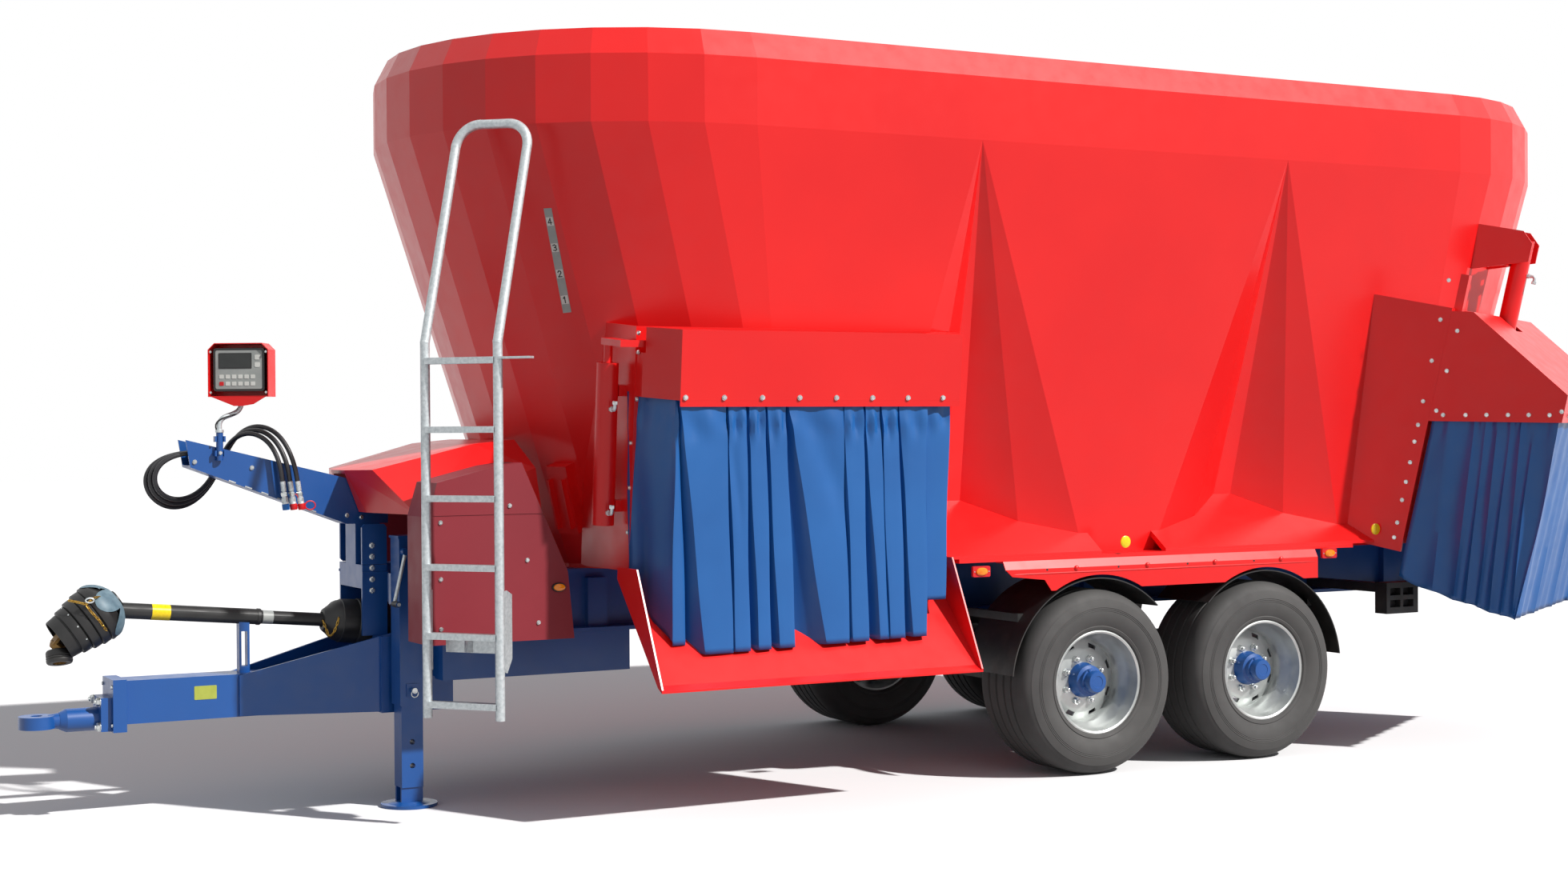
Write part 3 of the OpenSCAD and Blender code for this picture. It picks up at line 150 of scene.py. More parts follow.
roadDust = {"from": 0.35, "to": 0.85, "much": 0.16, "sizeMm": 110, "colour": "8F8478"}
looks = {
    # gloss red baked powder: slight orange peel, nearly even colour
    "red": {"name": "powder coat red", "pale": "F01E1D", "deep": "E6171A", "rough": (0.30, 0.38), "blotchMm": 900,
            "grain": (5, 0.10, 0.2), "shader": {"Coat Weight": 0.15, "Coat Roughness": 0.2, "Specular IOR Level": 0.35}},
    # the side covers are sprayed plastic without shine, in a red made darker by painted shade from the tank's overhang
    "coverRedPaintedShade": {"name": "satin cover red with painted shade", "pale": "861B29", "deep": "7E1825", "rough": (0.5, 0.6),
                 "blotchMm": 600, "grain": (2, 0.1, 0.3)},
    # enamel over welded plate, a little uneven
    "blue": {"name": "gentian blue enamel", "pale": "16549E", "deep": "144F96", "rough": (0.3, 0.42),
             "blotchMm": 600, "grain": (6, 0.2, 0.3), "shader": {"Coat Weight": 0.15, "Coat Roughness": 0.2}},
    # caps and plugs are moulded in plain colours
    "capRed": {"name": "red moulded cap", "pale": "D8141C", "deep": "CC1019", "rough": (0.4, 0.5), "blotchMm": 60,
               "grain": (1, 0.05, 0.3)},
    "capBlue": {"name": "blue moulded cap", "pale": "1E74C8", "deep": "1A68B8", "rough": (0.4, 0.5), "blotchMm": 60,
                "grain": (1, 0.05, 0.3)},
    # hot dip zinc: cool grey with pale and dark spangle
    "zinc": {"name": "galvanised steel", "pale": "D2D8DA", "deep": "B6BEC1", "rough": (0.36, 0.5), "blotchMm": 14,
             "grain": (6, 0.1, 0.3), "shader": {"Metallic": 0.5}},
    "bolt": {"name": "zinc plated bolt", "pale": "D8DBDA", "deep": "A5AAAB", "rough": (0.22, 0.35), "blotchMm": 12,
             "grain": (3, 0.05, 0.3), "shader": {"Metallic": 0.9}},
    # silver wheel paint
    "rim": {"name": "silver wheel paint", "pale": "C9CCCA", "deep": "A9ADAC", "rough": (0.3, 0.45), "blotchMm": 160,
            "grain": (5, 0.1, 0.2), "shader": {"Metallic": 0.55}},
    # run in rubber: grey bloom over black
    "rubber": {"name": "tyre rubber", "pale": "4F4E4D", "deep": "434242", "rough": (0.66, 0.8), "blotchMm": 420,
               "grain": (3, 0.25, 0.5)},
    "hose": {"name": "hose rubber", "pale": "26262A", "deep": "17171A", "rough": (0.38, 0.5), "blotchMm": 60,
             "grain": (2, 0.1, 0.4)},
    # coated curtain cloth: a smooth plastic skin that shines at the folds
    "curtain": {"name": "PVC curtain cloth", "pale": "1F62A8", "deep": "1A5A9E", "rough": (0.34, 0.44),
                "blotchMm": 500, "grain": (60, 1.5, 0.3), "shader": {"Specular IOR Level": 0.45}},
    "plastic": {"name": "black moulded plastic", "pale": "222222", "deep": "141415", "rough": (0.4, 0.55),
                "blotchMm": 90, "grain": (1.5, 0.12, 0.5), "dust": roadDust},
    # underside parts: thin black paint under dust
    "chassis": {"name": "black chassis paint", "pale": "2A2A2C", "deep": "171719", "rough": (0.45, 0.6),
                "blotchMm": 130, "grain": (7, 0.3, 0.4), "dust": {**roadDust, "much": 0.4}},
    # auger: steel rubbed bright by feed, with brown in the pits
    "worn": {"name": "feed worn steel", "pale": "A9A69E", "deep": "8B857A", "rough": (0.34, 0.5), "blotchMm": 240,
             "grain": (8, 0.15, 0.3), "shader": {"Metallic": 0.7}},
    "amber": {"name": "amber lamp lens", "pale": "FF9A1A", "deep": "F08000", "rough": (0.12, 0.2), "blotchMm": 20,
              "grain": (4, 0.3, 0.6), "shader": {"Transmission Weight": 0.15, "Emission Strength": 0.15,
                                                "Emission Color": hexLinear("FF9010")}},
    "yellow": {"name": "yellow reflector", "pale": "FFE11A", "deep": "F5CE00", "rough": (0.2, 0.3), "blotchMm": 10,
               "grain": (2, 0.2, 0.6)},
    "grey": {"name": "grey keypad film", "pale": "A8ABA8", "deep": "989C9A", "rough": (0.4, 0.5), "blotchMm": 60,
             "grain": (0.8, 0.05, 0.4)},
    "screen": {"name": "dark display window", "pale": "2B2F2E", "deep": "222625", "rough": (0.08, 0.14),
               "blotchMm": 50, "grain": (40, 0.05, 0.1)},
    "white": {"name": "white film", "pale": "E4E4DF", "deep": "D6D6D0", "rough": (0.4, 0.5), "blotchMm": 60,
              "grain": (3, 0.05, 0.3)},
    "sign": {"name": "blank label film", "pale": "B4BC52", "deep": "A9B24A", "rough": (0.35, 0.45), "blotchMm": 40,
             "grain": (2, 0.05, 0.3)},
    "brass": {"name": "passivated chain", "pale": "C9A24A", "deep": "8A6A2C", "rough": (0.3, 0.45), "blotchMm": 9,
              "grain": (2, 0.05, 0.3), "shader": {"Metallic": 0.85}},
    # forged yoke with primer rubbed through
    "forged": {"name": "forged yoke", "pale": "A07A3C", "deep": "7A5A2C", "rough": (0.5, 0.7), "blotchMm": 25,
               "grain": (4, 0.4, 0.5), "shader": {"Metallic": 0.3}},
    "casting": {"name": "blue grey casting", "pale": "6E8794", "deep": "526B79", "rough": (0.45, 0.6),
                "blotchMm": 40, "grain": (3, 0.3, 0.5)},
}
mats = {key: finish(look) for key, look in looks.items()}

dress = {
    "red": "tub tub_floor tub_ring skirts drive_hood front_frame front_hood front_tray rear_frame rear_hood "
           "front_door rear_door door_barrels knife_boxes terminal",
    # the side covers take the red that carries painted shade
    "coverRedPaintedShade": "side_covers",
    "blue": "main_frame drawbar tow_eye jack_sleeve jack_leg pto_stand hose_arm",
    "zinc": "ladder terminal_post couplers",
    "plastic": "pto_shaft mudguards",
    "chassis": "axles suspension drive_line lamp_carrier",
    "worn": "auger_front auger_rear",
    "amber": "lamps",
    "hose": "hose_1 hose_2 hose_3",
}
for key, names in dress.items():
    for name in names.split():
        for slot in nodes[name].material_slots:
            slot.material = mats[key]
        if not nodes[name].material_slots:
            nodes[name].data.materials.append(mats[key])
print("finishes ready")


# ---- building shapes ----
def turned(place, axis, side=None):
    # a frame at place whose Z runs along axis
    z = Vector(axis).normalized()
    x = Vector(side) if side else (Vector((0, 0, 1)) if abs(z.z) < 0.9 else Vector((1, 0, 0)))
    x = (x - z * x.dot(z)).normalized()
    y = z.cross(x)
    return Matrix.Translation(Vector(place)) @ Matrix((x, y, z)).transposed().to_4x4()


class Shape:
    # gathers faces of several finishes into one mesh
    def __init__(self, *finishes):
        self.finishes, self.points, self.faces, self.slots = finishes, [], [], []

    def add(self, points, faces, key, frameOf=None):
        start = len(self.points)
        self.points += [frameOf @ Vector(p) if frameOf else Vector(p) for p in points]
        self.faces += [[i + start for i in face] for face in faces]
        self.slots += [self.finishes.index(key)] * len(faces)

    def lathe(self, profile, frameOf, key, steps=32, close=False, wave=None):
        # profile is (radius, height) pairs; wave(angle, radius, height) may change the radius
        rings, points, faces = [], [], []
        for r, h in profile:
            if r < 1e-6:
                rings.append([len(points)])
                points.append((0, 0, h))
            else:
                rings.append(list(range(len(points), len(points) + steps)))
                for i in range(steps):
                    a = 2 * math.pi * i / steps
                    rr = wave(a, r, h) if wave else r
                    points.append((rr * math.cos(a), rr * math.sin(a), h))
        pairs = list(zip(rings, rings[1:])) + ([(rings[-1], rings[0])] if close else [])
        for low, high in pairs:
            for i in range(steps):
                j = (i + 1) % steps
                if len(low) > 1 and len(high) > 1:
                    faces.append((low[i], low[j], high[j], high[i]))
                elif len(low) > 1:
                    faces.append((low[i], low[j], high[0]))
                elif len(high) > 1:
                    faces.append((low[0], high[j], high[i]))
        self.add(points, faces, key, frameOf)

    def tube(self, path, radius, key, sides=10, ends=True, widths=None):
        path = [Vector(p) for p in path]
        points, faces = [], []
        side = None
        for n, p in enumerate(path):
            along = (path[min(n + 1, len(path) - 1)] - path[max(n - 1, 0)]).normalized()
            if side is None:
                side = along.orthogonal().normalized()
            side = (side - along * side.dot(along)).normalized()
            other = along.cross(side)
            r = radius * (widths[n] if widths else 1)
            for i in range(sides):
                a = 2 * math.pi * i / sides
                points.append(p + r * (math.cos(a) * side + math.sin(a) * other))
        for n in range(len(path) - 1):
            for i in range(sides):
                j = (i + 1) % sides
                faces.append((n * sides + i, n * sides + j, (n + 1) * sides + j, (n + 1) * sides + i))
        if ends:
            faces.append(tuple(range(sides - 1, -1, -1)))
            faces.append(tuple(range((len(path) - 1) * sides, len(path) * sides)))
        self.add(points, faces, key)

    def plate(self, outline, low, high, frameOf, key):
        n = len(outline)
        points = [(x, y, low) for x, y in outline] + [(x, y, high) for x, y in outline]
        faces = [tuple(range(n - 1, -1, -1)), tuple(range(n, 2 * n))]
        faces += [(i, (i + 1) % n, n + (i + 1) % n, n + i) for i in range(n)]
        self.add(points, faces, key, frameOf)

    def block(self, size, frameOf, key):
        x, y = size[0] / 2, size[1] / 2
        self.plate([(-x, -y), (x, -y), (x, y), (-x, y)], 0, size[2], frameOf, key)

    def bolt(self, place, axis, across=0.016, key="bolt"):
        # washer, hexagon head with a turned chamfer
        f = turned(place, axis)
        r = across / 2
        self.lathe([(0, 0), (r * 1.25, 0), (r * 1.25, r * 0.18), (0, r * 0.18)], f, key, 16)
        self.lathe([(r * 1.1, r * 0.18), (r * 1.12, r * 0.85), (r * 0.9, r * 1.05), (0, r * 1.05)], f, key, 6)

    def build(self, name, body, bevelMm=0, smooth=35):
        mesh = bpy.data.meshes.new(name)
        mesh.from_pydata(self.points, [], self.faces)
        for key in self.finishes:
            mesh.materials.append(mats[key])
        for poly, slot in zip(mesh.polygons, self.slots):
            poly.material_index = slot
        work = bmesh.new()
        work.from_mesh(mesh)
        bmesh.ops.recalc_face_normals(work, faces=work.faces)
        for face in work.faces:
            face.smooth = True
        for edge in work.edges:
            if len(edge.link_faces) == 2 and edge.calc_face_angle(0) > math.radians(smooth):
                edge.smooth = False
        work.to_mesh(mesh)
        work.free()
        obj = bpy.data.objects.new(name, mesh)
        bpy.context.collection.objects.link(obj)
        if bevelMm:
            bevel = obj.modifiers.new("bevel", "BEVEL")
            bevel.width, bevel.segments, bevel.limit_method = bevelMm / 1000, 2, "ANGLE"
            bevel.angle_limit = math.radians(40)
        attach(obj, body)
        return obj


def smoothPath(points, steps):
    # Catmull-Rom curve through the points
    pts = [Vector(p) for p in points]
    pts = [2 * pts[0] - pts[1]] + pts + [2 * pts[-1] - pts[-2]]
    out = []
    for i in range(1, len(pts) - 2):
        a, b, c, d = pts[i - 1:i + 3]
        for k in range(steps):
            t = k / steps
            out.append(0.5 * (2 * b + (c - a) * t + (2 * a - 5 * b + 4 * c - d) * t * t
                              + (3 * b - a - 3 * c + d) * t ** 3))
    return out + [pts[-2]]


# ---- wheels ----
wheel = {"x": (4.870, 5.930), "y": 1.0575, "r": 0.462, "w": 0.435, "rim": 0.262, "grooves": (-0.095, -0.032, 0.032, 0.095),
         "nuts": 8, "nutCircle": 0.112, "handHoles": 8}


def tyreProfile():
    # from the inner bead over the tread to the outer bead: (radius, distance out from the middle plane)
    half, r, rim = wheel["w"] / 2, wheel["r"], wheel["rim"]
    side = [(rim - 0.010, half - 0.036), (rim + 0.004, half - 0.020), (rim + 0.016, half - 0.016),
            (rim + 0.020, half - 0.019), (rim + 0.045, half - 0.007), (rim + 0.080, half - 0.001)]
    for ring in (rim + 0.096, rim + 0.104, rim + 0.112):
        side += [(ring - 0.002, half - 0.0015), (ring, half + 0.0005), (ring + 0.002, half - 0.0015)]
    side += [(rim + 0.130, half - 0.004), (r - 0.048, half - 0.010), (r - 0.044, half - 0.014),
             (r - 0.036, half - 0.018), (r - 0.020, half - 0.033), (r - 0.008, half - 0.055), (r - 0.003, half - 0.072)]
    tread = []
    for g in reversed(wheel["grooves"]):
        tread += [(r - 0.001, g + 0.008), (r - 0.011, g + 0.005), (r - 0.011, g - 0.005), (r - 0.001, g - 0.008)]
    return side + [(r - 0.001, half - 0.085)] + tread + [(r - 0.001, -half + 0.085)] + [(p, -q) for p, q in reversed(side)]


def makeWheel(name, x, s):
    body = "wheel_set_" + name
    hub = turned(at(x, s * wheel["y"], wheel["r"]), (0, s, 0))
    tyre = Shape("rubber")
    tyre.lathe(tyreProfile(), hub, "rubber", 144, close=True)
    tyre = tyre.build("road_tyre_" + name, body, smooth=28)
    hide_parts("tyre_" + name)
    half, rim = wheel["w"] / 2 - 0.030, wheel["rim"]
    part = Shape("rim", "blue", "bolt")
    # pressed rim: rolled flange, bead seat, well and the inner flange
    flange = [(rim - 0.012, half - 0.010), (rim - 0.004, half - 0.002), (rim - 0.004, half + 0.004),
              (rim - 0.010, half + 0.006), (rim - 0.018, half + 0.002), (rim - 0.020, half - 0.012)]
    well = [(rim - 0.024, half - 0.040), (rim - 0.030, half - 0.075), (rim - 0.050, half - 0.100), (rim - 0.056, 0.030),
            (rim - 0.056, -0.060), (rim - 0.036, -0.100), (rim - 0.024, -half + 0.012)]
    part.lathe(flange + well + [(rim - 0.020, -half), (rim - 0.010, -half), (rim - 0.010, -half + 0.02),
                                (rim - 0.018, 0.0)], hub, "rim", 96, close=True)
    # disc with hand holes: two skins and the holes' walls
    radii = (0.085, 0.150, 0.166, 0.188, 0.206)
    heights = (0.060, 0.060, 0.052, 0.040, 0.028)
    steps, holes = 96, wheel["handHoles"]
    points, faces = [], []
    for back in (0, 1):
        for r, h in zip(radii, heights):
            for i in range(steps):
                a = 2 * math.pi * i / steps
                points.append((r * math.cos(a), r * math.sin(a), h - 0.012 * back))
    open_ = lambda i: (i % (steps // holes)) in (4, 5, 6, 7)
    rings = len(radii)
    for k in range(rings - 1):
        for i in range(steps):
            j = (i + 1) % steps
            a, b, c, d = k * steps + i, k * steps + j, (k + 1) * steps + j, (k + 1) * steps + i
            if k == 2 and open_(i):
                low = rings * steps
                for p, q, beside in ((a, b, None), (c, d, None), (b, c, not open_(j)), (d, a, not open_(i - 1))):
                    if beside is None or beside:
                        faces.append((p, q, q + low, p + low))
                continue
            faces += [(a, b, c, d), tuple(v + rings * steps for v in (d, c, b, a))]
    part.add(points, faces, "rim", hub)
    # hub: drum, neck with a bolted collar, and the ribbed cap
    part.lathe([(0.0, -0.10), (0.085, -0.10), (0.088, 0.070), (0.080, 0.088), (0.078, 0.118), (0.062, 0.124), (0.060, 0.132),
                (0.064, 0.134), (0.064, 0.146), (0.056, 0.148), (0.054, 0.180), (0.050, 0.187), (0.030, 0.1885),
                (0.028, 0.186), (0.0, 0.186)], hub, "blue", 48)
    for i in range(wheel["nuts"]):
        a = 2 * math.pi * (i + 0.5) / wheel["nuts"]
        spot = hub @ Vector((wheel["nutCircle"] * math.cos(a), wheel["nutCircle"] * math.sin(a), 0.060))
        part.bolt(spot, (0, s, 0), 0.032)
        part.lathe([(0.009, 0.012), (0.009, 0.030), (0.006, 0.032), (0, 0.032)], turned(spot, (0, s, 0)), "bolt", 12)
        spot = hub @ Vector((0.059 * math.cos(a), 0.059 * math.sin(a), 0.146))
        if i % 2 == 0:
            part.bolt(spot, (0, s, 0), 0.012, "blue")
    part = part.build("rim_and_hub_" + name, body)
    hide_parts("wheel_" + name)


for i, end in enumerate(("front", "rear")):
    for s, side in ((-1, "left"), (1, "right")):
        makeWheel(end + "_" + side, wheel["x"][i], s)
print("wheels ready")


# ---- curtains ----
def curtainCloth(name, top, bottom, rows, sag, body, replaced):
    # a sheet between two lines with the same number of points, with creases gathered under the top
    points, faces = [], []
    n = len(top)
    for k in range(rows + 1):
        t = k / rows
        for i in range(n):
            p = Vector(top[i]).lerp(Vector(bottom[i]), t)
            p += sag(i / (n - 1), t)
            points.append(p)
    for k in range(rows):
        for i in range(n - 1):
            a = k * n + i
            faces.append((a, a + 1, a + n + 1, a + n))
    cloth = Shape("curtain")
    cloth.add(points, faces, "curtain")
    obj = cloth.build(name, body, smooth=38)
    thick = obj.modifiers.new("thickness", "SOLIDIFY")
    thick.thickness, thick.offset = 0.003, 0
    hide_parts(replaced)
    flatArea = sum(f.area for f in obj.data.polygons)
    print(name, "flat width", round(sum((Vector(bottom[i + 1]) - Vector(bottom[i])).length for i in range(n - 1)), 3),
          "height", round((Vector(top[n // 2]) - Vector(bottom[n // 2])).length, 3), "area", round(flatArea, 3))
    return obj


# front curtain: every panel as the x of its left and right edge, under the hood and at the hem
frontCurtain = {"flat": (3.19, 1.165), "area": 3.59, "y": -1.4827, "top": 1.905, "hem": (0.742, 0.772), "backHem": 1.02, "left": (2.352, -1.155), "right": (3.930, -1.165),
                "panels": ((2.447, 2.456, 2.430, 2.500), (2.458, 2.682, 2.571, 2.711), (2.695, 2.784, 2.724, 2.796),
                           (2.794, 2.879, 2.839, 2.904), (2.887, 2.982, 2.942, 3.027), (2.991, 3.280, 3.184, 3.307),
                           (3.286, 3.384, 3.326, 3.409), (3.390, 3.476, 3.471, 3.516), (3.482, 3.573, 3.522, 3.608),
                           (3.580, 3.727, 3.644, 3.723), (3.733, 3.870, 3.740, 3.860))}
# rear curtain: pleat lines along each side as distance out from the tub, under the hood and at the hem
rearCurtain = {"flat": (3.00, 1.16), "area": 3.30, "half": 0.716, "front": -0.680, "back": -0.045, "hem": (-0.172, -0.255), "top": 0.74, "deep": 0.022,
               "pleats": ((0.0, 0.0), (0.085, 0.185), (0.204, 0.300), (0.255, 0.368), (0.320, 0.430), (0.381, 0.496),
                          (0.440, 0.556), (0.497, 0.610), (0.635, 0.635))}
chute = {"front": {"x": 3.175, "turn": 0.0, "lean": 5.2588}, "rear": {"x": 6.810, "turn": 31.5, "lean": 12.0916}}
floorHeight, lobeRadius = 1.100, 1.120


def inChute(name, x, y, z):
    # a point in a chute's own frame, whose -Y points out of the tub
    c = chute[name]
    lean, turn = math.radians(c["lean"]), math.radians(c["turn"])
    y, z = y * math.cos(lean) - z * math.sin(lean), y * math.sin(lean) + z * math.cos(lean)
    y -= lobeRadius
    return at(c["x"] + x * math.cos(turn) - y * math.sin(turn), x * math.sin(turn) + y * math.cos(turn), floorHeight + z)


def chuteAxis(name, x, y, z):
    return inChute(name, x, y, z) - inChute(name, 0, 0, 0)


def makeFrontCurtain(c):
    top, bottom = [], []

    def add(xTop, yTop, xLow, yLow, zLow):
        top.append(at(xTop, yTop, c["top"]))
        bottom.append(at(xLow, yLow, zLow))

    (xl, yl), (xr, yr) = c["left"], c["right"]
    first, last = c["panels"][0], c["panels"][-1]
    hem = lambda x: c["hem"][0] + (c["hem"][1] - c["hem"][0]) * (x - 2.5) / 1.3
    for k in range(15):
        # left side, hanging slack in two shallow waves
        t = k / 14
        wave = 0.022 * math.sin(t * math.pi * 2.4) * (1 - t)
        add(xl + (first[0] - xl) * t, yl + (c["y"] + 0.06 - yl) * t, xl + (first[2] - xl) * t + wave,
            yl + (c["y"] + 0.05 - yl) * t, c["backHem"] + (c["hem"][0] + 0.06 - c["backHem"]) * t)
    for n, (a, b, low, high) in enumerate(c["panels"]):
        lift = {0: 0.045, len(c["panels"]) - 1: 0.16}.get(n, 0)
        depth = {0: 0.045, len(c["panels"]) - 1: 0.055}.get(n, 0)
        gap = 0
        if n + 1 < len(c["panels"]):
            gap = c["panels"][n + 1][2] - high
        for k in range(9):
            # the panel: nearly flat, and creased sharply where the returns begin
            t = k / 8
            bow = 0.004 + 0.0015 * (2 * t - 1) ** 4 + 0.006 * t
            add(a + (b - a) * t, c["y"] + 0.008 + depth * 0.3 + 0.5 * bow, low + (high - low) * t, c["y"] + bow + depth,
                hem(low) + lift)
        if gap:
            # the return behind it, coming forward again to the next panel's edge
            nextA, nextLow = c["panels"][n + 1][0], c["panels"][n + 1][2]
            deep = 0.035 + 0.45 * gap
            for k in range(1, 6):
                t = k / 6
                curve = math.sin(math.pi * min(1.0, 0.25 + 0.75 * t)) ** 0.8
                add(b + (nextA - b) * t, c["y"] + 0.012 + 0.022 * curve, high - 0.012 * math.sin(math.pi * t) + gap * t ** 1.6,
                    c["y"] + 0.012 + deep * curve + depth * (1 - t), hem(high) + 0.004 + lift * (1 - t))
    for k in range(1, 12):
        t = k / 11
        add(last[1] + (xr - last[1]) * t, c["y"] + 0.02 + (yr - c["y"] - 0.02) * t, last[3] + (xr - last[3]) * t - 0.012 * math.sin(6 * t),
            c["y"] + 0.06 + (yr - c["y"] - 0.06) * t, hem(last[3]) + 0.16 + (c["backHem"] - hem(last[3]) - 0.16) * t)

    def sag(u, t):
        # creases where the cloth is gathered, a few slack diagonal folds, and a faint wander
        gather = math.exp(-((t - 0.13) / 0.06) ** 2) * 0.008 * (math.sin(u * 210 + 14 * t) + 0.7 * math.sin(u * 133 - 22 * t))
        slack = 0.0
        for where, depth, slope in ((0.52, 0.016, 0.35), (0.80, 0.010, -0.30), (0.26, 0.008, 0.25)):
            slack += depth * math.exp(-((u - where - slope * (t - 0.3) * 0.2) / 0.012) ** 2) * math.exp(-((t - 0.32) / 0.2) ** 2)
        return Vector((0.003 * math.sin(t * 9 + u * 60), gather + slack, 0))

    return curtainCloth("front_chute_curtain", top, bottom, 44, sag, "chassis", "front_curtain")


def makeRearCurtain(c):
    outline = []
    # down one side, across the front, back along the other side
    for s in (-1, 1):
        line = []
        pleats = c["pleats"]
        for n in range(len(pleats) - 1):
            for k in range(6):
                t = k / 6
                fold = c["deep"] * (math.sin(math.pi * t) ** 0.7) * (0.6 if n in (0, len(pleats) - 2) else 1.0)
                line.append([pleats[n][i] + (pleats[n + 1][i] - pleats[n][i]) * t for i in (0, 1)] + [fold])
        line.append(list(pleats[-1]) + [0])
        line = [(s * c["half"], c["back"] - p, c["back"] - q, fold, (s, 0)) for p, q, fold in line]
        outline.append(line if s < 0 else line[::-1])
    across = []
    for k in range(1, 48):
        t = k / 48
        fold = c["deep"] * abs(math.sin(math.pi * t * 9)) ** 0.7
        across.append((-c["half"] + 2 * c["half"] * t, c["front"], c["front"], fold, (0, -1)))
    top, bottom = [], []
    for x, yTop, yLow, fold, (nx, ny) in outline[0] + across + outline[1]:
        out = (c["back"] - yTop) / (c["back"] - c["front"])
        outLow = (c["back"] - yLow) / (c["back"] - c["front"])
        inset = 0.006 + 0.3 * fold
        rise = min(0.90, 0.725 + 0.45 * out) if ny == 0 else 0.90
        top.append(inChute("rear", x - nx * inset, yTop - ny * inset, rise))
        low = c["hem"][0] + (c["hem"][1] - c["hem"][0]) * min(1.0, outLow) ** 0.6
        bottom.append(inChute("rear", x - nx * (0.004 + fold), yLow - ny * (0.004 + fold), low + 0.004 * math.sin(40 * x + 31 * yLow)))

    def sag(u, t):
        slack = 0.014 * math.exp(-((u - 0.30 - 0.05 * t) / 0.02) ** 2) * math.exp(-((t - 0.45) / 0.3) ** 2)
        gather = math.exp(-((t - 0.12) / 0.05) ** 2) * 0.004 * math.sin(u * 260 + 11 * t)
        return Vector((0.003 * math.sin(u * 90 + 6 * t) + slack + gather, 0.003 * math.cos(u * 77 + 5 * t), 0))

    return curtainCloth("rear_chute_curtain", top, bottom, 40, sag, "chassis", "rear_curtain")


makeFrontCurtain(frontCurtain)
makeRearCurtain(rearCurtain)
print("curtains ready")


# ---- hoses ----
# each line in millimetres from the towing eye, heights above the ground
hoses = {
    "diameter": 0.022,
    "routes": [
        ((745, -32, 1640), (692, -32, 1642), (640, -31, 1636), (590, -30, 1621), (546, -26, 1592),
         (522, -19, 1547), (527, -6, 1497), (557, 13, 1458), (598, 36, 1435), (644, 60, 1427),
         (691, 83, 1432), (737, 102, 1450), (778, 116, 1479), (812, 123, 1519), (838, 123, 1565),
         (858, 114, 1612), (877, 96, 1658), (899, 67, 1696), (927, 30, 1721), (958, -11, 1729),
         (991, -50, 1719), (1022, -83, 1692), (1046, -107, 1651), (1063, -120, 1603), (1074, -127, 1552),
         (1080, -128, 1500)),
        ((745, 0, 1640), (688, 0, 1642), (631, 1, 1634), (576, 3, 1618), (530, 7, 1585), (507, 15, 1534),
         (518, 28, 1480), (553, 48, 1439), (598, 72, 1415), (649, 98, 1407), (700, 122, 1414),
         (749, 142, 1436), (792, 155, 1471), (828, 160, 1515), (854, 158, 1566), (876, 147, 1618),
         (897, 126, 1667), (921, 95, 1708), (951, 55, 1736), (985, 11, 1745), (1020, -34, 1735),
         (1051, -72, 1706), (1076, -100, 1663), (1094, -117, 1612), (1108, -126, 1557), (1115, -128, 1500)),
        ((745, 32, 1640), (683, 32, 1642), (622, 33, 1633), (563, 35, 1614), (514, 39, 1577),
         (493, 48, 1521), (509, 62, 1464), (549, 83, 1421), (599, 108, 1395), (653, 136, 1387),
         (709, 161, 1396), (761, 181, 1422), (807, 192, 1463), (843, 196, 1513), (871, 192, 1568),
         (894, 179, 1624), (916, 157, 1677), (943, 123, 1722), (976, 80, 1752), (1012, 32, 1762),
         (1048, -17, 1751), (1080, -60, 1721), (1106, -93, 1675), (1126, -114, 1620), (1141, -126, 1561),
         (1150, -128, 1500)),
    ],
}


def makeHoses(h):
    for n, route in enumerate(h["routes"]):
        line = [at(x / 1000, y / 1000, z / 1000) for x, y, z in route]
        curve = bpy.data.curves.new("hydraulic_hose_%d" % (n + 1), "CURVE")
        curve.dimensions, curve.bevel_depth, curve.bevel_resolution = "3D", h["diameter"] / 2, 4
        curve.use_fill_caps = True
        spline = curve.splines.new("NURBS")
        spline.points.add(len(line) - 1)
        for point, place in zip(spline.points, line):
            point.co = (*place, 1)
        spline.order_u, spline.use_endpoint_u, spline.resolution_u = 3, True, 4
        obj = bpy.data.objects.new(curve.name, curve)
        bpy.context.collection.objects.link(obj)
        curve.materials.append(mats["hose"])
        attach(obj, "chassis")
        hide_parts("hose_%d" % (n + 1))
        coupler = makeCoupler(n, line)


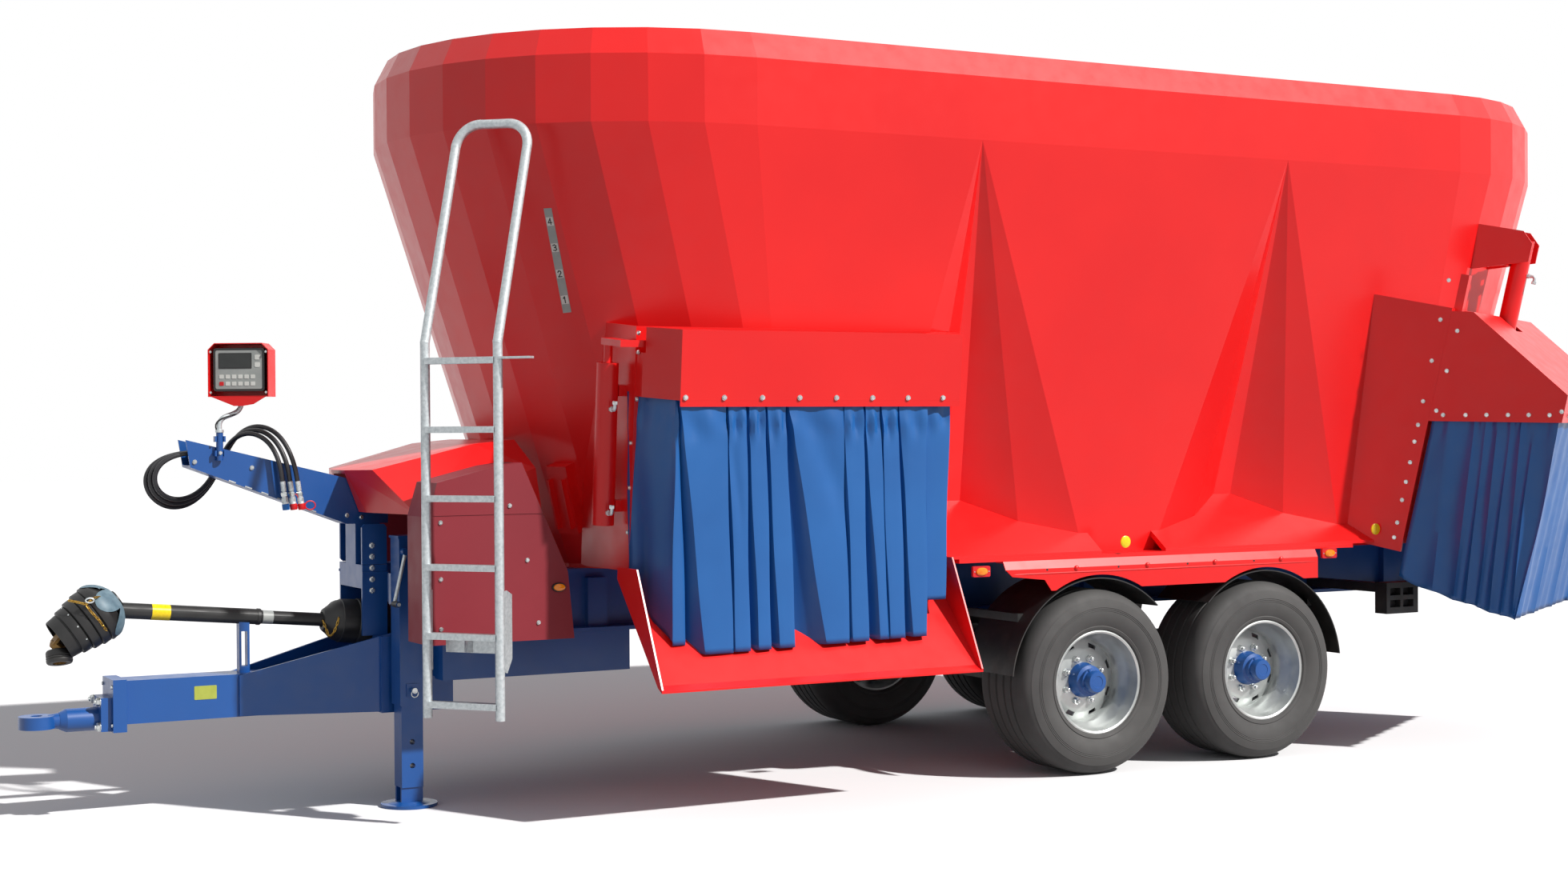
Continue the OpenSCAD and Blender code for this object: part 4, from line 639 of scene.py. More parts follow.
def makeCoupler(n, line):
    # crimped ferrule, swivel nut, quick coupler and its dust cap; the last cap has a pull ring
    end, along = line[-1], (line[-1] - line[-2]).normalized()
    f = turned(end, along)
    cap = ("capBlue", "capRed", "capRed")[n]
    part = Shape("zinc", "bolt", cap)
    ribs = []
    for k in range(6):
        z = 0.004 + k * 0.006
        ribs += [(0.0128, z), (0.0128, z + 0.003), (0.0118, z + 0.0035), (0.0118, z + 0.0055)]
    part.lathe([(0.0105, -0.006), (0.0128, -0.005)] + ribs + [(0.009, 0.041), (0.009, 0.046), (0.0, 0.046)], f, "zinc", 28)
    part.lathe([(0, 0.044), (0.0150, 0.044), (0.0158, 0.047), (0.0158, 0.060), (0.0150, 0.063), (0, 0.063)], f, "bolt", 6)
    part.lathe([(0.0, 0.062), (0.0125, 0.062), (0.0125, 0.070), (0.0150, 0.072), (0.0150, 0.088), (0.0140, 0.090), (0.0150, 0.092),
                (0.0150, 0.099), (0.0120, 0.101), (0, 0.101)], f, "zinc", 28)
    part.lathe([(0, 0.098), (0.0165, 0.099), (0.0170, 0.102), (0.0170, 0.122), (0.0155, 0.127), (0, 0.128)], f, cap, 28,
               wave=lambda a, r, h: r - (0.0007 if math.sin(14 * a) > 0.5 and h > 0.101 else 0))
    if n == 2:
        middle = f @ Vector((0, 0, 0.108))
        ring = [middle + Vector((0.016 + 0.024 * (1 - math.cos(a)), -0.004, 0.020 * math.sin(a)))
                for a in [2 * math.pi * k / 32 for k in range(33)]]
        part.tube(ring, 0.003, cap, 8, ends=False)
    else:
        part.tube(smoothPath([f @ Vector((0.017, 0, 0.112)), f @ Vector((0.030, 0.004, 0.100)), f @ Vector((0.024, 0.006, 0.070)),
                              f @ Vector((0.016, 0.002, 0.055))], 6), 0.002, cap, 6)
    obj = part.build("coupler_%d" % (n + 1), "chassis")
    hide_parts("couplers")
    return obj


makeHoses(hoses)
print("hoses ready")


# ---- drive shaft ----
driveShaft = {
    "front": (0.290, 0.942), "mid": (1.350, 0.845), "hang": 236, "sleeve": (0.100, 0.742), "lean": -18,
    "bands": ((0.502, 0.588, "yellow"), (1.010, 1.062, "grey")),
    # the front cone's steps: radius at both ends and where they lie along it
    "rings": ((0.133, 0.136, 0.000, 0.040), (0.130, 0.131, 0.044, 0.084), (0.123, 0.122, 0.088, 0.128),
              (0.112, 0.110, 0.132, 0.176), (0.100, 0.095, 0.180, 0.232)),
    "chains": (((0.117, -0.100, 0.998), (0.152, -0.125, 0.990), (0.187, -0.140, 0.982), (0.209, -0.143, 0.995),
                (0.232, -0.126, 1.006), (0.257, -0.104, 1.005), (0.276, -0.090, 0.990), (0.292, -0.074, 0.969)),
               ((0.187, -0.140, 0.982), (0.213, -0.142, 0.944), (0.246, -0.136, 0.907), (0.268, -0.126, 0.876),
                (0.285, -0.108, 0.859), (0.300, -0.086, 0.864))),
}


def makeCollar(part, f, profile, lobes):
    # locking ring over the cone's shoulder, its edge cut in scallops
    steps, rows, points, faces = 120, 10, [], []
    for i in range(steps):
        a = 2 * math.pi * i / steps
        reach = 0.30 + 0.70 * abs(math.cos(lobes * a / 2 + 0.7)) ** 0.9
        for k in range(rows + 1):
            u = reach * k / rows * (len(profile) - 1)
            n = min(int(u), len(profile) - 2)
            r, z = (profile[n][m] + (profile[n + 1][m] - profile[n][m]) * (u - n) for m in (0, 1))
            points.append((r * math.cos(a), r * math.sin(a), z))
    for i in range(steps):
        for k in range(rows):
            j = (i + 1) % steps
            faces.append((i * (rows + 1) + k, j * (rows + 1) + k, j * (rows + 1) + k + 1, i * (rows + 1) + k + 1))
    part.add(points, faces, "casting", f)
    for side in (1, -1):
        spot = f @ Vector((0.092, side * 0.070, -0.046))
        axis = f @ Vector((0.4, side * 0.3, -0.9)) - f @ Vector((0, 0, 0))
        part.lathe([(0, -0.004), (0.022, -0.004), (0.022, 0.006), (0.017, 0.009), (0.012, 0.006), (0, 0.007)], turned(spot, axis),
                   "casting", 28)


def makeYoke(part, f, spacing, width, reach):
    # fork of two rounded ears on a hub, with the bearing caps in its eyes
    for s in (-1, 1):
        ear = [(width * math.cos(a), reach + width * math.sin(a)) for a in [math.pi * k / 12 for k in range(13)]]
        g = f @ Matrix(((0, 0, 1, s * spacing - 0.007), (1, 0, 0, 0), (0, 1, 0, 0), (0, 0, 0, 1)))
        part.plate([(width + 0.004, 0)] + ear + [(-width - 0.004, 0)], 0, 0.014, g, "forged")
        cap = turned(f @ Vector((s * (spacing + 0.006), 0, reach)), f @ Vector((s, 0, 0)) - f @ Vector((0, 0, 0)))
        part.lathe([(0, 0), (0.018, 0), (0.018, 0.003), (0.014, 0.005), (0, 0.005)], cap, "bolt", 24)
    part.lathe([(0, -0.018), (0.036, -0.018), (0.044, -0.004), (0.044, 0.010), (0.026, 0.018), (0, 0.020)], f, "forged", 32)
    part.tube([f @ Vector((-spacing, 0, reach)), f @ Vector((spacing, 0, reach))], 0.013, "forged", 20)


def makeDriveShaft(d):
    (xa, za), (xb, zb) = d["front"], d["mid"]
    onLine = lambda x: at(x, 0, za + (zb - za) * (x - xa) / (xb - xa))
    along = (onLine(xb) - onLine(xa)).normalized()
    part = Shape("plastic", "yellow", "grey", "brass", "forged", "casting", "bolt", "zinc")

    def sleeve(x0, x1, r, key, ribs=0):
        f = turned(onLine(x0), along, (0, 1, 0))
        length = (onLine(x1) - onLine(x0)).length
        wave = (lambda a, q, h: q + 0.0008 * (abs(math.sin(ribs * a)) ** 8)) if ribs else None
        part.lathe([(0, 0), (r - 0.002, 0), (r, 0.002), (r, length - 0.002), (r - 0.002, length), (0, length)], f, key, 72, wave=wave)

    sleeve(xa + 0.05, 1.000, 0.036, "plastic", 4)
    sleeve(0.950, xb + 0.02, 0.031, "plastic", 4)
    part.lathe([(0.0355, 0), (0.0385, 0.002), (0.0385, 0.016), (0.0355, 0.02)], turned(onLine(0.985), along, (0, 1, 0)), "plastic", 64)
    for x0, x1, key in d["bands"]:
        sleeve(x0, x1, 0.0368 if x0 < 1 else 0.0318, key)
    # rear guard: a deep bell, open towards the gearbox
    f = turned(onLine(xb) - along * 0.005, along, (0, 1, 0))
    part.lathe([(0.036, -0.050), (0.050, -0.046), (0.070, -0.020), (0.086, -0.004), (0.094, 0.012), (0.098, 0.030), (0.102, 0.034),
                (0.104, 0.110), (0.108, 0.115), (0.1135, 0.240), (0.1135, 0.252), (0.1100, 0.252), (0.1000, 0.110), (0.080, 0.010),
                (0.040, -0.030)], f, "plastic", 80)
    part.lathe([(0.0, 0.0), (0.052, 0.010), (0.052, 0.180), (0.0, 0.190)], f, "casting", 40)
    part.lathe([(0.0, 0.17), (0.088, 0.17), (0.088, 0.31), (0.0, 0.31)], f, "casting", 40)
    # front joint under its stepped cone
    hang = math.radians(d["hang"])
    down = Vector((math.sin(hang), 0, math.cos(hang)))
    f = turned(onLine(xa), down, (0, 1, 0))
    cone = [(0.058, -0.040), (0.098, -0.034), (0.124, -0.010)]
    for low, high, z0, z1 in d["rings"]:
        cone += [(low - 0.002, z0), (low + 0.001, z0 + 0.004), (high + 0.001, z1 - 0.004), (high - 0.001, z1)]
    cone += [(0.092, 0.2325), (0.089, 0.230), (0.102, 0.170), (0.112, 0.120), (0.104, 0.020), (0.058, -0.006)]
    part.lathe(cone, f, "plastic", 96)
    for k in range(10):
        a = 2 * math.pi * (k + 0.3) / 10
        spot = f @ Vector((0.111 * math.cos(a), 0.111 * math.sin(a), 0.142))
        part.bolt(spot, spot - f @ Vector((0, 0, 0.142)), 0.008)
    makeCollar(part, f, [(0.040, -0.078), (0.062, -0.072), (0.090, -0.056), (0.112, -0.036), (0.130, -0.012), (0.1375, 0.010),
                         (0.1385, 0.028)], 5)
    part.lathe([(0.0, -0.085), (0.042, -0.083), (0.046, -0.076), (0.046, -0.060), (0.0, -0.06)], f, "plastic", 40)
    # inner fork, then the outer one on its ribbed push sleeve
    cross = f @ Vector((0, 0, 0.163))
    makeYoke(part, turned(cross - down * 0.075, down, (0, 1, 0)), 0.034, 0.026, 0.075)
    x, z = d["sleeve"]
    hub = turned(at(x, 0, z), (0, math.sin(math.radians(d["lean"])) * -1, math.cos(math.radians(d["lean"]))), (1, 0, 0))
    top = hub @ Vector((0, 0, 0.040))
    makeYoke(part, turned(top, cross - top, (1, 0, 0)), 0.033, 0.027, (cross - top).length)
    part.lathe([(0.030, -0.032), (0.052, -0.032), (0.056, -0.028), (0.058, -0.020), (0.058, -0.016), (0.0555, -0.013), (0.058, -0.010),
                (0.058, -0.006), (0.0555, -0.003), (0.058, 0.000), (0.058, 0.018), (0.053, 0.026), (0.040, 0.030), (0, 0.030)], hub,
               "plastic", 56)
    part.lathe([(0.031, -0.030), (0.029, -0.010), (0.0, -0.010)], hub, "forged", 48, wave=lambda a, r, h: r - 0.004 * (math.sin(6 * a) > 0))
    for chain in d["chains"]:
        makeChain(part, [at(*p) for p in chain])
    clip = at(0.205, -0.146, 0.996)
    part.tube([clip + Vector((0.018 * math.cos(a), -0.002, 0.010 * math.sin(a))) for a in [2 * math.pi * k / 24 for k in range(25)]],
              0.0035, "zinc", 8, ends=False)
    makeChain(part, [onLine(xb) + Vector(p) for p in ((-0.060, -0.034, 0.010), (-0.052, -0.060, -0.030), (-0.040, -0.074, -0.066),
                                                      (-0.022, -0.086, -0.050), (-0.008, -0.096, -0.010), (0.000, -0.098, 0.020))])
    obj = part.build("drive_shaft", "chassis", smooth=32)
    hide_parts("pto_shaft")


def makeChain(part, points, link=0.022, wire=0.0024):
    # welded links, each turned a quarter from the one before
    path = smoothPath(points, 24)
    walked, spots = 0.0, []
    for a, b in zip(path, path[1:]):
        walked += (b - a).length
        if walked >= link * 0.72:
            spots.append((b, (b - a).normalized()))
            walked = 0.0
    for n, (spot, along) in enumerate(spots):
        side = along.orthogonal().normalized()
        if n % 2:
            side = along.cross(side)
        half, r = link / 2 - 0.0045, 0.0045
        ring = []
        for k in range(13):
            a = math.pi * (k / 6)
            shift = half if math.cos(a) > 0 else -half
            ring.append(spot + along * (shift + r * math.cos(a)) + side * r * math.sin(a))
        part.tube(ring, wire, "brass", 6, ends=False)


makeDriveShaft(driveShaft)
print("drive shaft ready")


# ---- weighing terminal ----
terminal = {"place": (0.905, -0.0913, 1.895), "turn": -32, "half": 0.140, "deep": (-0.060, 0.055), "high": 0.245}


def makeTerminal(c):
    f = Matrix.Translation(at(*c["place"])) @ Matrix.Rotation(math.radians(c["turn"]), 4, "Z")
    part = Shape("red", "plastic", "grey", "screen", "bolt", "white", "capRed")
    w, (y0, y1), h, t = c["half"], c["deep"], c["high"], 0.004
    face = f @ Matrix(((1, 0, 0, 0), (0, 0, 1, 0), (0, 1, 0, 0), (0, 0, 0, 1)))  # x across, y up, z backwards
    # folded hood: back, sides, top and bottom of thin sheet, the front edge turned in
    rim = [(-w, 0.0), (w, 0.0), (w, h - 0.030), (w - 0.030, h), (-w + 0.030, h), (-w, h - 0.030)]
    inner = [(-w + t, t), (w - t, t), (w - t, h - 0.031), (w - 0.031, h - t), (-w + 0.031, h - t), (-w + t, h - 0.031)]
    n = len(rim)
    points = [(x, z, y0) for x, z in rim] + [(x, z, y1) for x, z in rim] + [(x, z, y0) for x, z in inner] + [(x, z, y1 - t) for x, z in inner]
    faces = [(i, (i + 1) % n, n + (i + 1) % n, n + i) for i in range(n)]
    faces += [(2 * n + i, 2 * n + (i + 1) % n, 3 * n + (i + 1) % n, 3 * n + i) for i in range(n)]
    faces += [(i, (i + 1) % n, 2 * n + (i + 1) % n, 2 * n + i) for i in range(n)]
    faces += [tuple(range(n, 2 * n)), tuple(range(3 * n, 4 * n))]
    part.add(points, faces, "red", face)
    part.plate([(-0.130, 0.002), (0.130, 0.002), (0.070, -0.034), (0.020, -0.042), (-0.020, -0.042)], y0, y0 + 0.005, face, "red")
    # instrument: black housing, display window, keypad film with soft keys
    soft = lambda x0, x1, z0, z1, r: [(cx + r * math.cos(a), cz + r * math.sin(a)) for cx, cz, start in (
        (x1 - r, z1 - r, 0), (x0 + r, z1 - r, 90), (x0 + r, z0 + r, 180), (x1 - r, z0 + r, 270))
        for a in [math.radians(start + 90 * k / 5) for k in range(6)]]
    part.plate(soft(-0.118, 0.118, 0.026, 0.222, 0.012), y0 + 0.014, y0 + 0.070, face, "plastic")
    part.plate(soft(-0.108, 0.108, 0.036, 0.212, 0.008), y0 + 0.0125, y0 + 0.014, face, "grey")
    part.plate(soft(-0.094, 0.060, 0.128, 0.200, 0.004), y0 + 0.0115, y0 + 0.0125, face, "plastic")
    part.plate(soft(-0.088, 0.054, 0.134, 0.194, 0.003), y0 + 0.0108, y0 + 0.0115, face, "screen")
    for k in range(6):
        x = -0.080 + 0.029 * k
        for z, key in ((0.092, "white"), (0.060, "white" if k else "capRed")):
            part.plate(soft(x - 0.010, x + 0.010, z - 0.009, z + 0.009, 0.003), y0 + 0.0112, y0 + 0.0125, face, key)
    for z in (0.146, 0.180):
        part.plate(soft(0.074, 0.098, z - 0.011, z + 0.011, 0.005), y0 + 0.0112, y0 + 0.0125, face, "white")
    for x in (-0.128, 0.128):
        for z in (0.020, 0.205):
            part.bolt(face @ Vector((x, z, y0 + 0.003)), f @ Vector((0, -1, 0)) - f @ Vector((0, 0, 0)), 0.009)
    # cable glands under the housing
    for x in (-0.060, -0.025):
        g = turned(face @ Vector((x, 0.0, 0.010)), (0, 0, -1))
        part.lathe([(0, -0.004), (0.011, -0.004), (0.011, 0.010), (0.009, 0.012), (0.009, 0.022), (0.006, 0.026), (0, 0.026)], g, "plastic", 20)
    obj = part.build("weighing_terminal", "chassis", smooth=30)
    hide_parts("terminal")


makeTerminal(terminal)


# ---- terminal post and the cable that it carries ----
post = {"x": 0.800, "y": -0.0913, "r": 0.016, "low": 1.600, "bend": 1.780, "head": (0.900, 1.892)}


def makePost(c):
    part = Shape("zinc", "blue", "plastic", "bolt")
    low, high = at(c["x"], c["y"], c["low"] + 0.005), at(c["head"][0], c["y"], c["head"][1])
    line = smoothPath([at(c["x"], c["y"], 1.74), at(c["x"], c["y"], 1.775), at(c["x"] + 0.018, c["y"], 1.800), at(c["x"] + 0.060, c["y"], 1.817),
                       at(c["x"] + 0.086, c["y"], 1.832), at(c["head"][0], c["y"], 1.858), high], 6)
    part.tube([low] + line, 0.0115, "zinc", 20)
    part.tube([low, at(c["x"], c["y"], 1.735)], 0.0158, "blue", 24)
    part.lathe([(0.0115, 0), (0.019, 0), (0.019, 0.012), (0.0115, 0.014)], turned(at(c["x"], c["y"], 1.733), (0, 0, 1)), "zinc", 24)
    part.bolt(at(c["x"], c["y"] - 0.015, 1.640), (0, -1, 0), 0.014)
    part.lathe([(0, 0), (0.030, 0), (0.030, 0.004), (0, 0.004)], turned(high - Vector((0, 0, 0.005)), (0, 0, 1)), "zinc", 24)
    # signal cable, wound once about the tube
    wound = []
    for k in range(40):
        t = k / 39
        p = line[min(len(line) - 1, int(t * (len(line) - 1)))]
        a = 2 * math.pi * 1.2 * t + 2
        wound.append(p + Vector((0.016 * math.cos(a), 0.016 * math.sin(a), 0)))
    part.tube(wound[::2], 0.0035, "plastic", 8)
    obj = part.build("terminal_tube", "chassis")
    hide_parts("terminal_post")


makePost(post)
print("terminal ready")


# ---- bolts on the sheet metal ----
def makeBolts():
    # front hood: along the band's lower edge, the left strip and the tray
    part = Shape("bolt")
    for k in range(8):
        place = inChute("front", -0.700 + 0.190 * k, -0.300, 0.803)
        part.bolt(place, chuteAxis("front", 0, -1, 0), 0.020)
    for z in (1.071, 0.985, 0.777, 0.578, 0.377, 0.177, -0.021):
        for s in (-1, 1):
            part.bolt(inChute("front", s * 0.820, -0.010 if z < 0.7 else -0.060, z), chuteAxis("front", s, 0, 0), 0.017)
    part.build("front_hood_bolts", "chassis")
    # the band's folded lower edge, which holds the curtain's top
    part = Shape("red")
    f = Matrix((chuteAxis("front", 1, 0, 0), chuteAxis("front", 0, 0, 1), chuteAxis("front", 0, -1, 0))).transposed().to_4x4()
    f = Matrix.Translation(inChute("front", 0, -0.297, 0)) @ f
    part.plate([(-0.725, 0.766), (-0.722, 0.763), (0.722, 0.763), (0.725, 0.766), (0.725, 0.7898), (-0.725, 0.7898)], 0, 0.003, f, "red")
    part.build("front_hood_edge", "chassis")
    # rear hood: lower edge of both sides, then the rows up the strips
    part = Shape("bolt")
    for s in (-1, 1):
        for y, z in ((-0.058, 0.734), (-0.097, 0.719), (-0.211, 0.742), (-0.316, 0.764), (-0.423, 0.786), (-0.525, 0.807), (-0.627, 0.827),
                     (-0.682, 0.856), (-0.078, 1.167), (-0.068, 0.950)):
            part.bolt(inChute("rear", s * 0.725, y, z), chuteAxis("rear", s, 0, 0), 0.018)
        for z in (1.420, 1.209, 0.988, 0.769, 0.550, 0.331, 0.108, 0.641, 0.437, 0.232, 0.027):
            part.bolt(inChute("rear", s * 0.725, 0.02, z), chuteAxis("rear", s, 0, 0), 0.018)
    for k in range(7):
        part.bolt(inChute("rear", -0.600 + 0.200 * k, -0.695, 0.838), chuteAxis("rear", 0, -1, 0), 0.018)
    part.build("rear_hood_bolts", "chassis")
    # folded lip under the rear hood's sides
    part = Shape("red")
    for s in (-1, 1):
        f = Matrix((chuteAxis("rear", 0, -1, 0), chuteAxis("rear", 0, 0, 1), chuteAxis("rear", 1, 0, 0))).transposed().to_4x4()
        f = Matrix.Translation(inChute("rear", s * 0.725 - 0.001, 0, 0)) @ f
        part.plate([(0.095, 0.690), (0.680, 0.808), (0.680, 0.822), (0.095, 0.704)], 0, 0.002, f, "red")
    part.build("rear_hood_lip", "chassis")
    # side covers, hose arm and its post plates
    part = Shape("bolt", "amber", "plastic")
    for s, xs in ((-1, ((1.560, 1.330), (1.560, 1.080), (1.560, 0.860), (1.886, 1.398), (1.969, 1.152), (2.021, 0.869))),
                  (1, ((1.886, 1.398), (1.969, 1.152), (2.021, 0.869)))):
        for x, z in xs:
            part.bolt(at(x, s * 0.905, z), (0, s, 0), 0.016)
    # oval marker lamp on the near cover
    f = turned(at(2.119, -0.905, 1.024), (0, -1, 0), (1, 0, 0))
    part.lathe([(0, 0), (0.034, 0), (0.034, 0.006), (0.031, 0.010), (0, 0.010)], f @ Matrix.Diagonal((1, 0.62, 1, 1)), "plastic", 40)
    part.lathe([(0.028, 0.008), (0.026, 0.016), (0.018, 0.020), (0, 0.022)], f @ Matrix.Diagonal((1, 0.58, 1, 1)), "amber", 40)
    part.build("cover_bolts_and_lamp", "chassis")
    part = Shape("bolt", "blue", "capRed")
    for x, z in ((0.690, 1.600), (0.798, 1.620), (0.952, 1.570), (1.400, 1.340), (1.470, 1.330)):
        for s in (-1, 1):
            part.bolt(at(x, s * 0.075, z), (0, s, 0), 0.017)
    # cheeks beside the post with their row of bolts, and the strap between
    for s in (-1, 1):
        f = turned(at(1.500, s * 0.157, 1.206), (0, s, 0), (1, 0, 0))
        part.plate([(-0.060, -0.094), (0.060, -0.094), (0.060, 0.080), (0.046, 0.094), (-0.046, 0.094), (-0.060, 0.080)], 0, 0.016, f, "blue")
        for z in (1.200, 1.148, 1.095, 1.042, 0.990):
            part.bolt(at(1.487, s * 0.173, z), (0, s, 0), 0.022)
        part.block((0.124, 0.012, 0.008), turned(at(1.500, s * 0.173, 1.070), (0, s, 0), (1, 0, 0)), "blue")
    # rolled edges and the long slots in the arm's lower flange
    for s in (-1, 1):
        for k in range(6):
            x = 0.860 + 0.075 * k
            z = 1.575 + (1.300 - 1.575) * (x - 0.670) / 0.730
            part.block((0.034, 0.006, 0.004), turned(at(x, s * 0.0745, z + 0.004), (0, s, 0), (1, 0, -0.377)), "bolt")
    part.build("hose_arm_bolts", "chassis")


makeBolts()


# ---- side lamps, reflectors and the numbered filling scale ----
def makeLamp(name, x, side, z):
    # red housing with two screws and an oval amber lens
    y = side * 1.262
    f = turned(at(x, y, z), (0, side, 0), (1, 0, 0))
    part = Shape("capRed", "amber", "bolt", "white")
    soft = [(cx * 0.042 + 0.008 * math.cos(a), cy * 0.018 + 0.008 * math.sin(a)) for cx, cy, start in (
        (1, 1, 0), (-1, 1, 90), (-1, -1, 180), (1, -1, 270)) for a in [math.radians(start + 90 * k / 4) for k in range(5)]]
    part.plate(soft, 0, 0.014, f, "capRed")
    part.lathe([(0.024, 0.012), (0.0235, 0.020), (0.018, 0.024), (0, 0.0255)], f @ Matrix.Diagonal((1.35, 0.8, 1, 1)), "amber", 40)
    for s in (-1, 1):
        part.bolt(f @ Vector((s * 0.041, 0, 0.013)), (0, side, 0), 0.006)
    obj = part.build(name, "chassis", smooth=30)
    return obj


def makeLamps():
    pieces = [makeLamp("marker_lamp_%s_%s" % (end, word), x, s, z)
              for end, x, z in (("front", 4.161, 1.040), ("rear", 6.359, 1.057)) for s, word in ((-1, "left"), (1, "right"))]
    for obj in pieces:
        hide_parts("lamps")
    part = Shape("yellow", "white")
    for x, z in ((5.029, 1.157), (6.692, 1.175)):
        for s in (-1, 1):
            f = turned(at(x, s * 1.262, z), (0, s, 0))
            part.lathe([(0, 0), (0.030, 0), (0.030, 0.005), (0.027, 0.007), (0, 0.0085)], f, "yellow", 40)
    part.build("side_reflectors", "chassis")


makeLamps()
print("lamps ready")


# ---- filling scale on the tub's front lobe ----
scale = {"corners": ((2.085, -0.845, 2.738), (2.112, -0.875, 2.739), (2.204, -0.785, 2.270), (2.229, -0.820, 2.273)),
         "square": (0.034, 0.040), "digit": (0.017, 0.027), "stroke": 0.0048,
         "digits": {"4": [[(0.68, 0.0), (0.68, 1.0), (0.0, 0.30), (1.0, 0.30)]],
                    "3": [[(0.05, 0.90), (0.5, 1.0), (0.90, 0.80), (0.75, 0.58), (0.4, 0.53), (0.8, 0.46), (0.95, 0.22), (0.6, 0.0),
                           (0.05, 0.08)]],
                    "2": [[(0.05, 0.78), (0.2, 0.97), (0.5, 1.0), (0.85, 0.88), (0.9, 0.65), (0.05, 0.0), (0.95, 0.0)]],
                    "1": [[(0.20, 0.76), (0.58, 1.0), (0.58, 0.0)]]}}


def makeScale(c):
    tub = nodes["tub"]
    tree = BVHTree.FromPolygons([tub.matrix_world @ v.co for v in tub.data.vertices], [tuple(f.vertices) for f in tub.data.polygons])
    topLeft, topRight, lowLeft, lowRight = (at(*p) for p in c["corners"])
    width, height = (topRight - topLeft).length, (topLeft - lowLeft).length

    def spot(u, v, lift):
        # u and v in metres from the strip's top left corner, laid on the tub
        p = topLeft.lerp(topRight, u / width).lerp(lowLeft.lerp(lowRight, u / width), v / height)
        place, normal = tree.find_nearest(p)[:2]
        return place + (normal if normal.y < 0 else -normal) * lift

    def patch(corners, lift, key, rows=1):
        (ax, ay), (bx, by), (cx, cy), (dx, dy) = corners
        points, faces = [], []
        for under in (0.0, 1.0):
            for k in range(rows + 1):
                t = k / rows
                for u in (0, 0.5, 1):
                    x = (ax + (bx - ax) * u) * (1 - t) + (dx + (cx - dx) * u) * t
                    y = (ay + (by - ay) * u) * (1 - t) + (dy + (cy - dy) * u) * t
                    points.append(spot(x, y, lift - 0.0006 * under))
        n = 3 * (rows + 1)
        for k in range(rows):
            for u in (0, 1):
                a = 3 * k + u
                faces += [(a, a + 1, a + 4, a + 3), tuple(v + n for v in (a + 3, a + 4, a + 1, a))]
        loop = [3 * k for k in range(rows + 1)] + [3 * rows + 1] + [3 * k + 2 for k in range(rows, -1, -1)] + [1]
        faces += [(a, b, b + n, a + n) for a, b in zip(loop, loop[1:] + loop[:1])]
        part.add(points, faces, key)

    part = Shape("grey", "white", "screen")
    patch(((0, 0), (width, 0), (width, height), (0, height)), 0.0012, "grey", 24)
    for n, name in enumerate("4321"):
        middle = (width / 2, height * (n + 0.5) / 4)
        w, h = (side / 2 for side in c["square"])
        patch([(middle[0] + s * w, middle[1] + t * h) for s, t in ((-1, -1), (1, -1), (1, 1), (-1, 1))], 0.0018, "white", 2)
        for line in c["digits"][name]:
            line = [Vector((middle[0] + (x - 0.5) * c["digit"][0], middle[1] + (0.5 - y) * c["digit"][1])) for x, y in line]
            for a, b in zip(line, line[1:]):
                along = (b - a).normalized() * c["stroke"] / 2
                side = Vector((-along.y, along.x))
                patch([tuple(p) for p in (a - along + side, b + along + side, b + along - side, a - along - side)], 0.0025, "screen")
    part.build("filling_scale", "chassis", smooth=20)


makeScale(scale)


# ---- skirts, drawbar and stand fittings ----
skirt = {"y": 1.262, "bolts": ((4.730, 1.036), (5.168, 1.036), (5.600, 1.036), (6.038, 1.036)), "holes": (4.554, 4.988, 5.423, 5.857),
         "bead": (4.36, 6.28, 1.016)}


def makeSkirtTrim(c):
    part = Shape("red", "bolt", "plastic")
    for s in (-1, 1):
        y = s * c["y"]
        for x, z in c["bolts"]:
            f = turned(at(x, y, z), (0, s, 0))
            part.lathe([(0, 0), (0.014, 0), (0.014, 0.002), (0.012, 0.0025), (0.011, 0.006), (0.007, 0.009), (0, 0.010)], f, "red", 24)
        # each hole is a thin black disc laid on the sheet: painted shade where the sheet is open
        for x in c["holes"]:
            part.lathe([(0, 0.0002), (0.0055, 0.0002), (0.0055, 0.0006), (0, 0.0006)], turned(at(x, y, 1.034), (0, s, 0)), "plastic", 20)
        # pressed bead along the sheet, shallow and rounded at both ends
        x0, x1, z = c["bead"]
        count = 24
        path = [at(x0 + (x1 - x0) * k / count, y - s * 0.0015, z) for k in range(count + 1)]
        part.tube(path, 0.0045, "red", 14, widths=[0.4] + [1] * (count - 1) + [0.4])
    part.build("skirt_bolts_and_bead", "chassis")


makeSkirtTrim(skirt)

drawbarTrim = {"label": (0.676, 0.778, 0.520, 0.582), "labelY": -0.0852, "eyeBolts": ((0.066, 0.536), (0.066, 0.424)),
               "plateBolts": ((0.096, 0.430), (0.096, 0.601))}


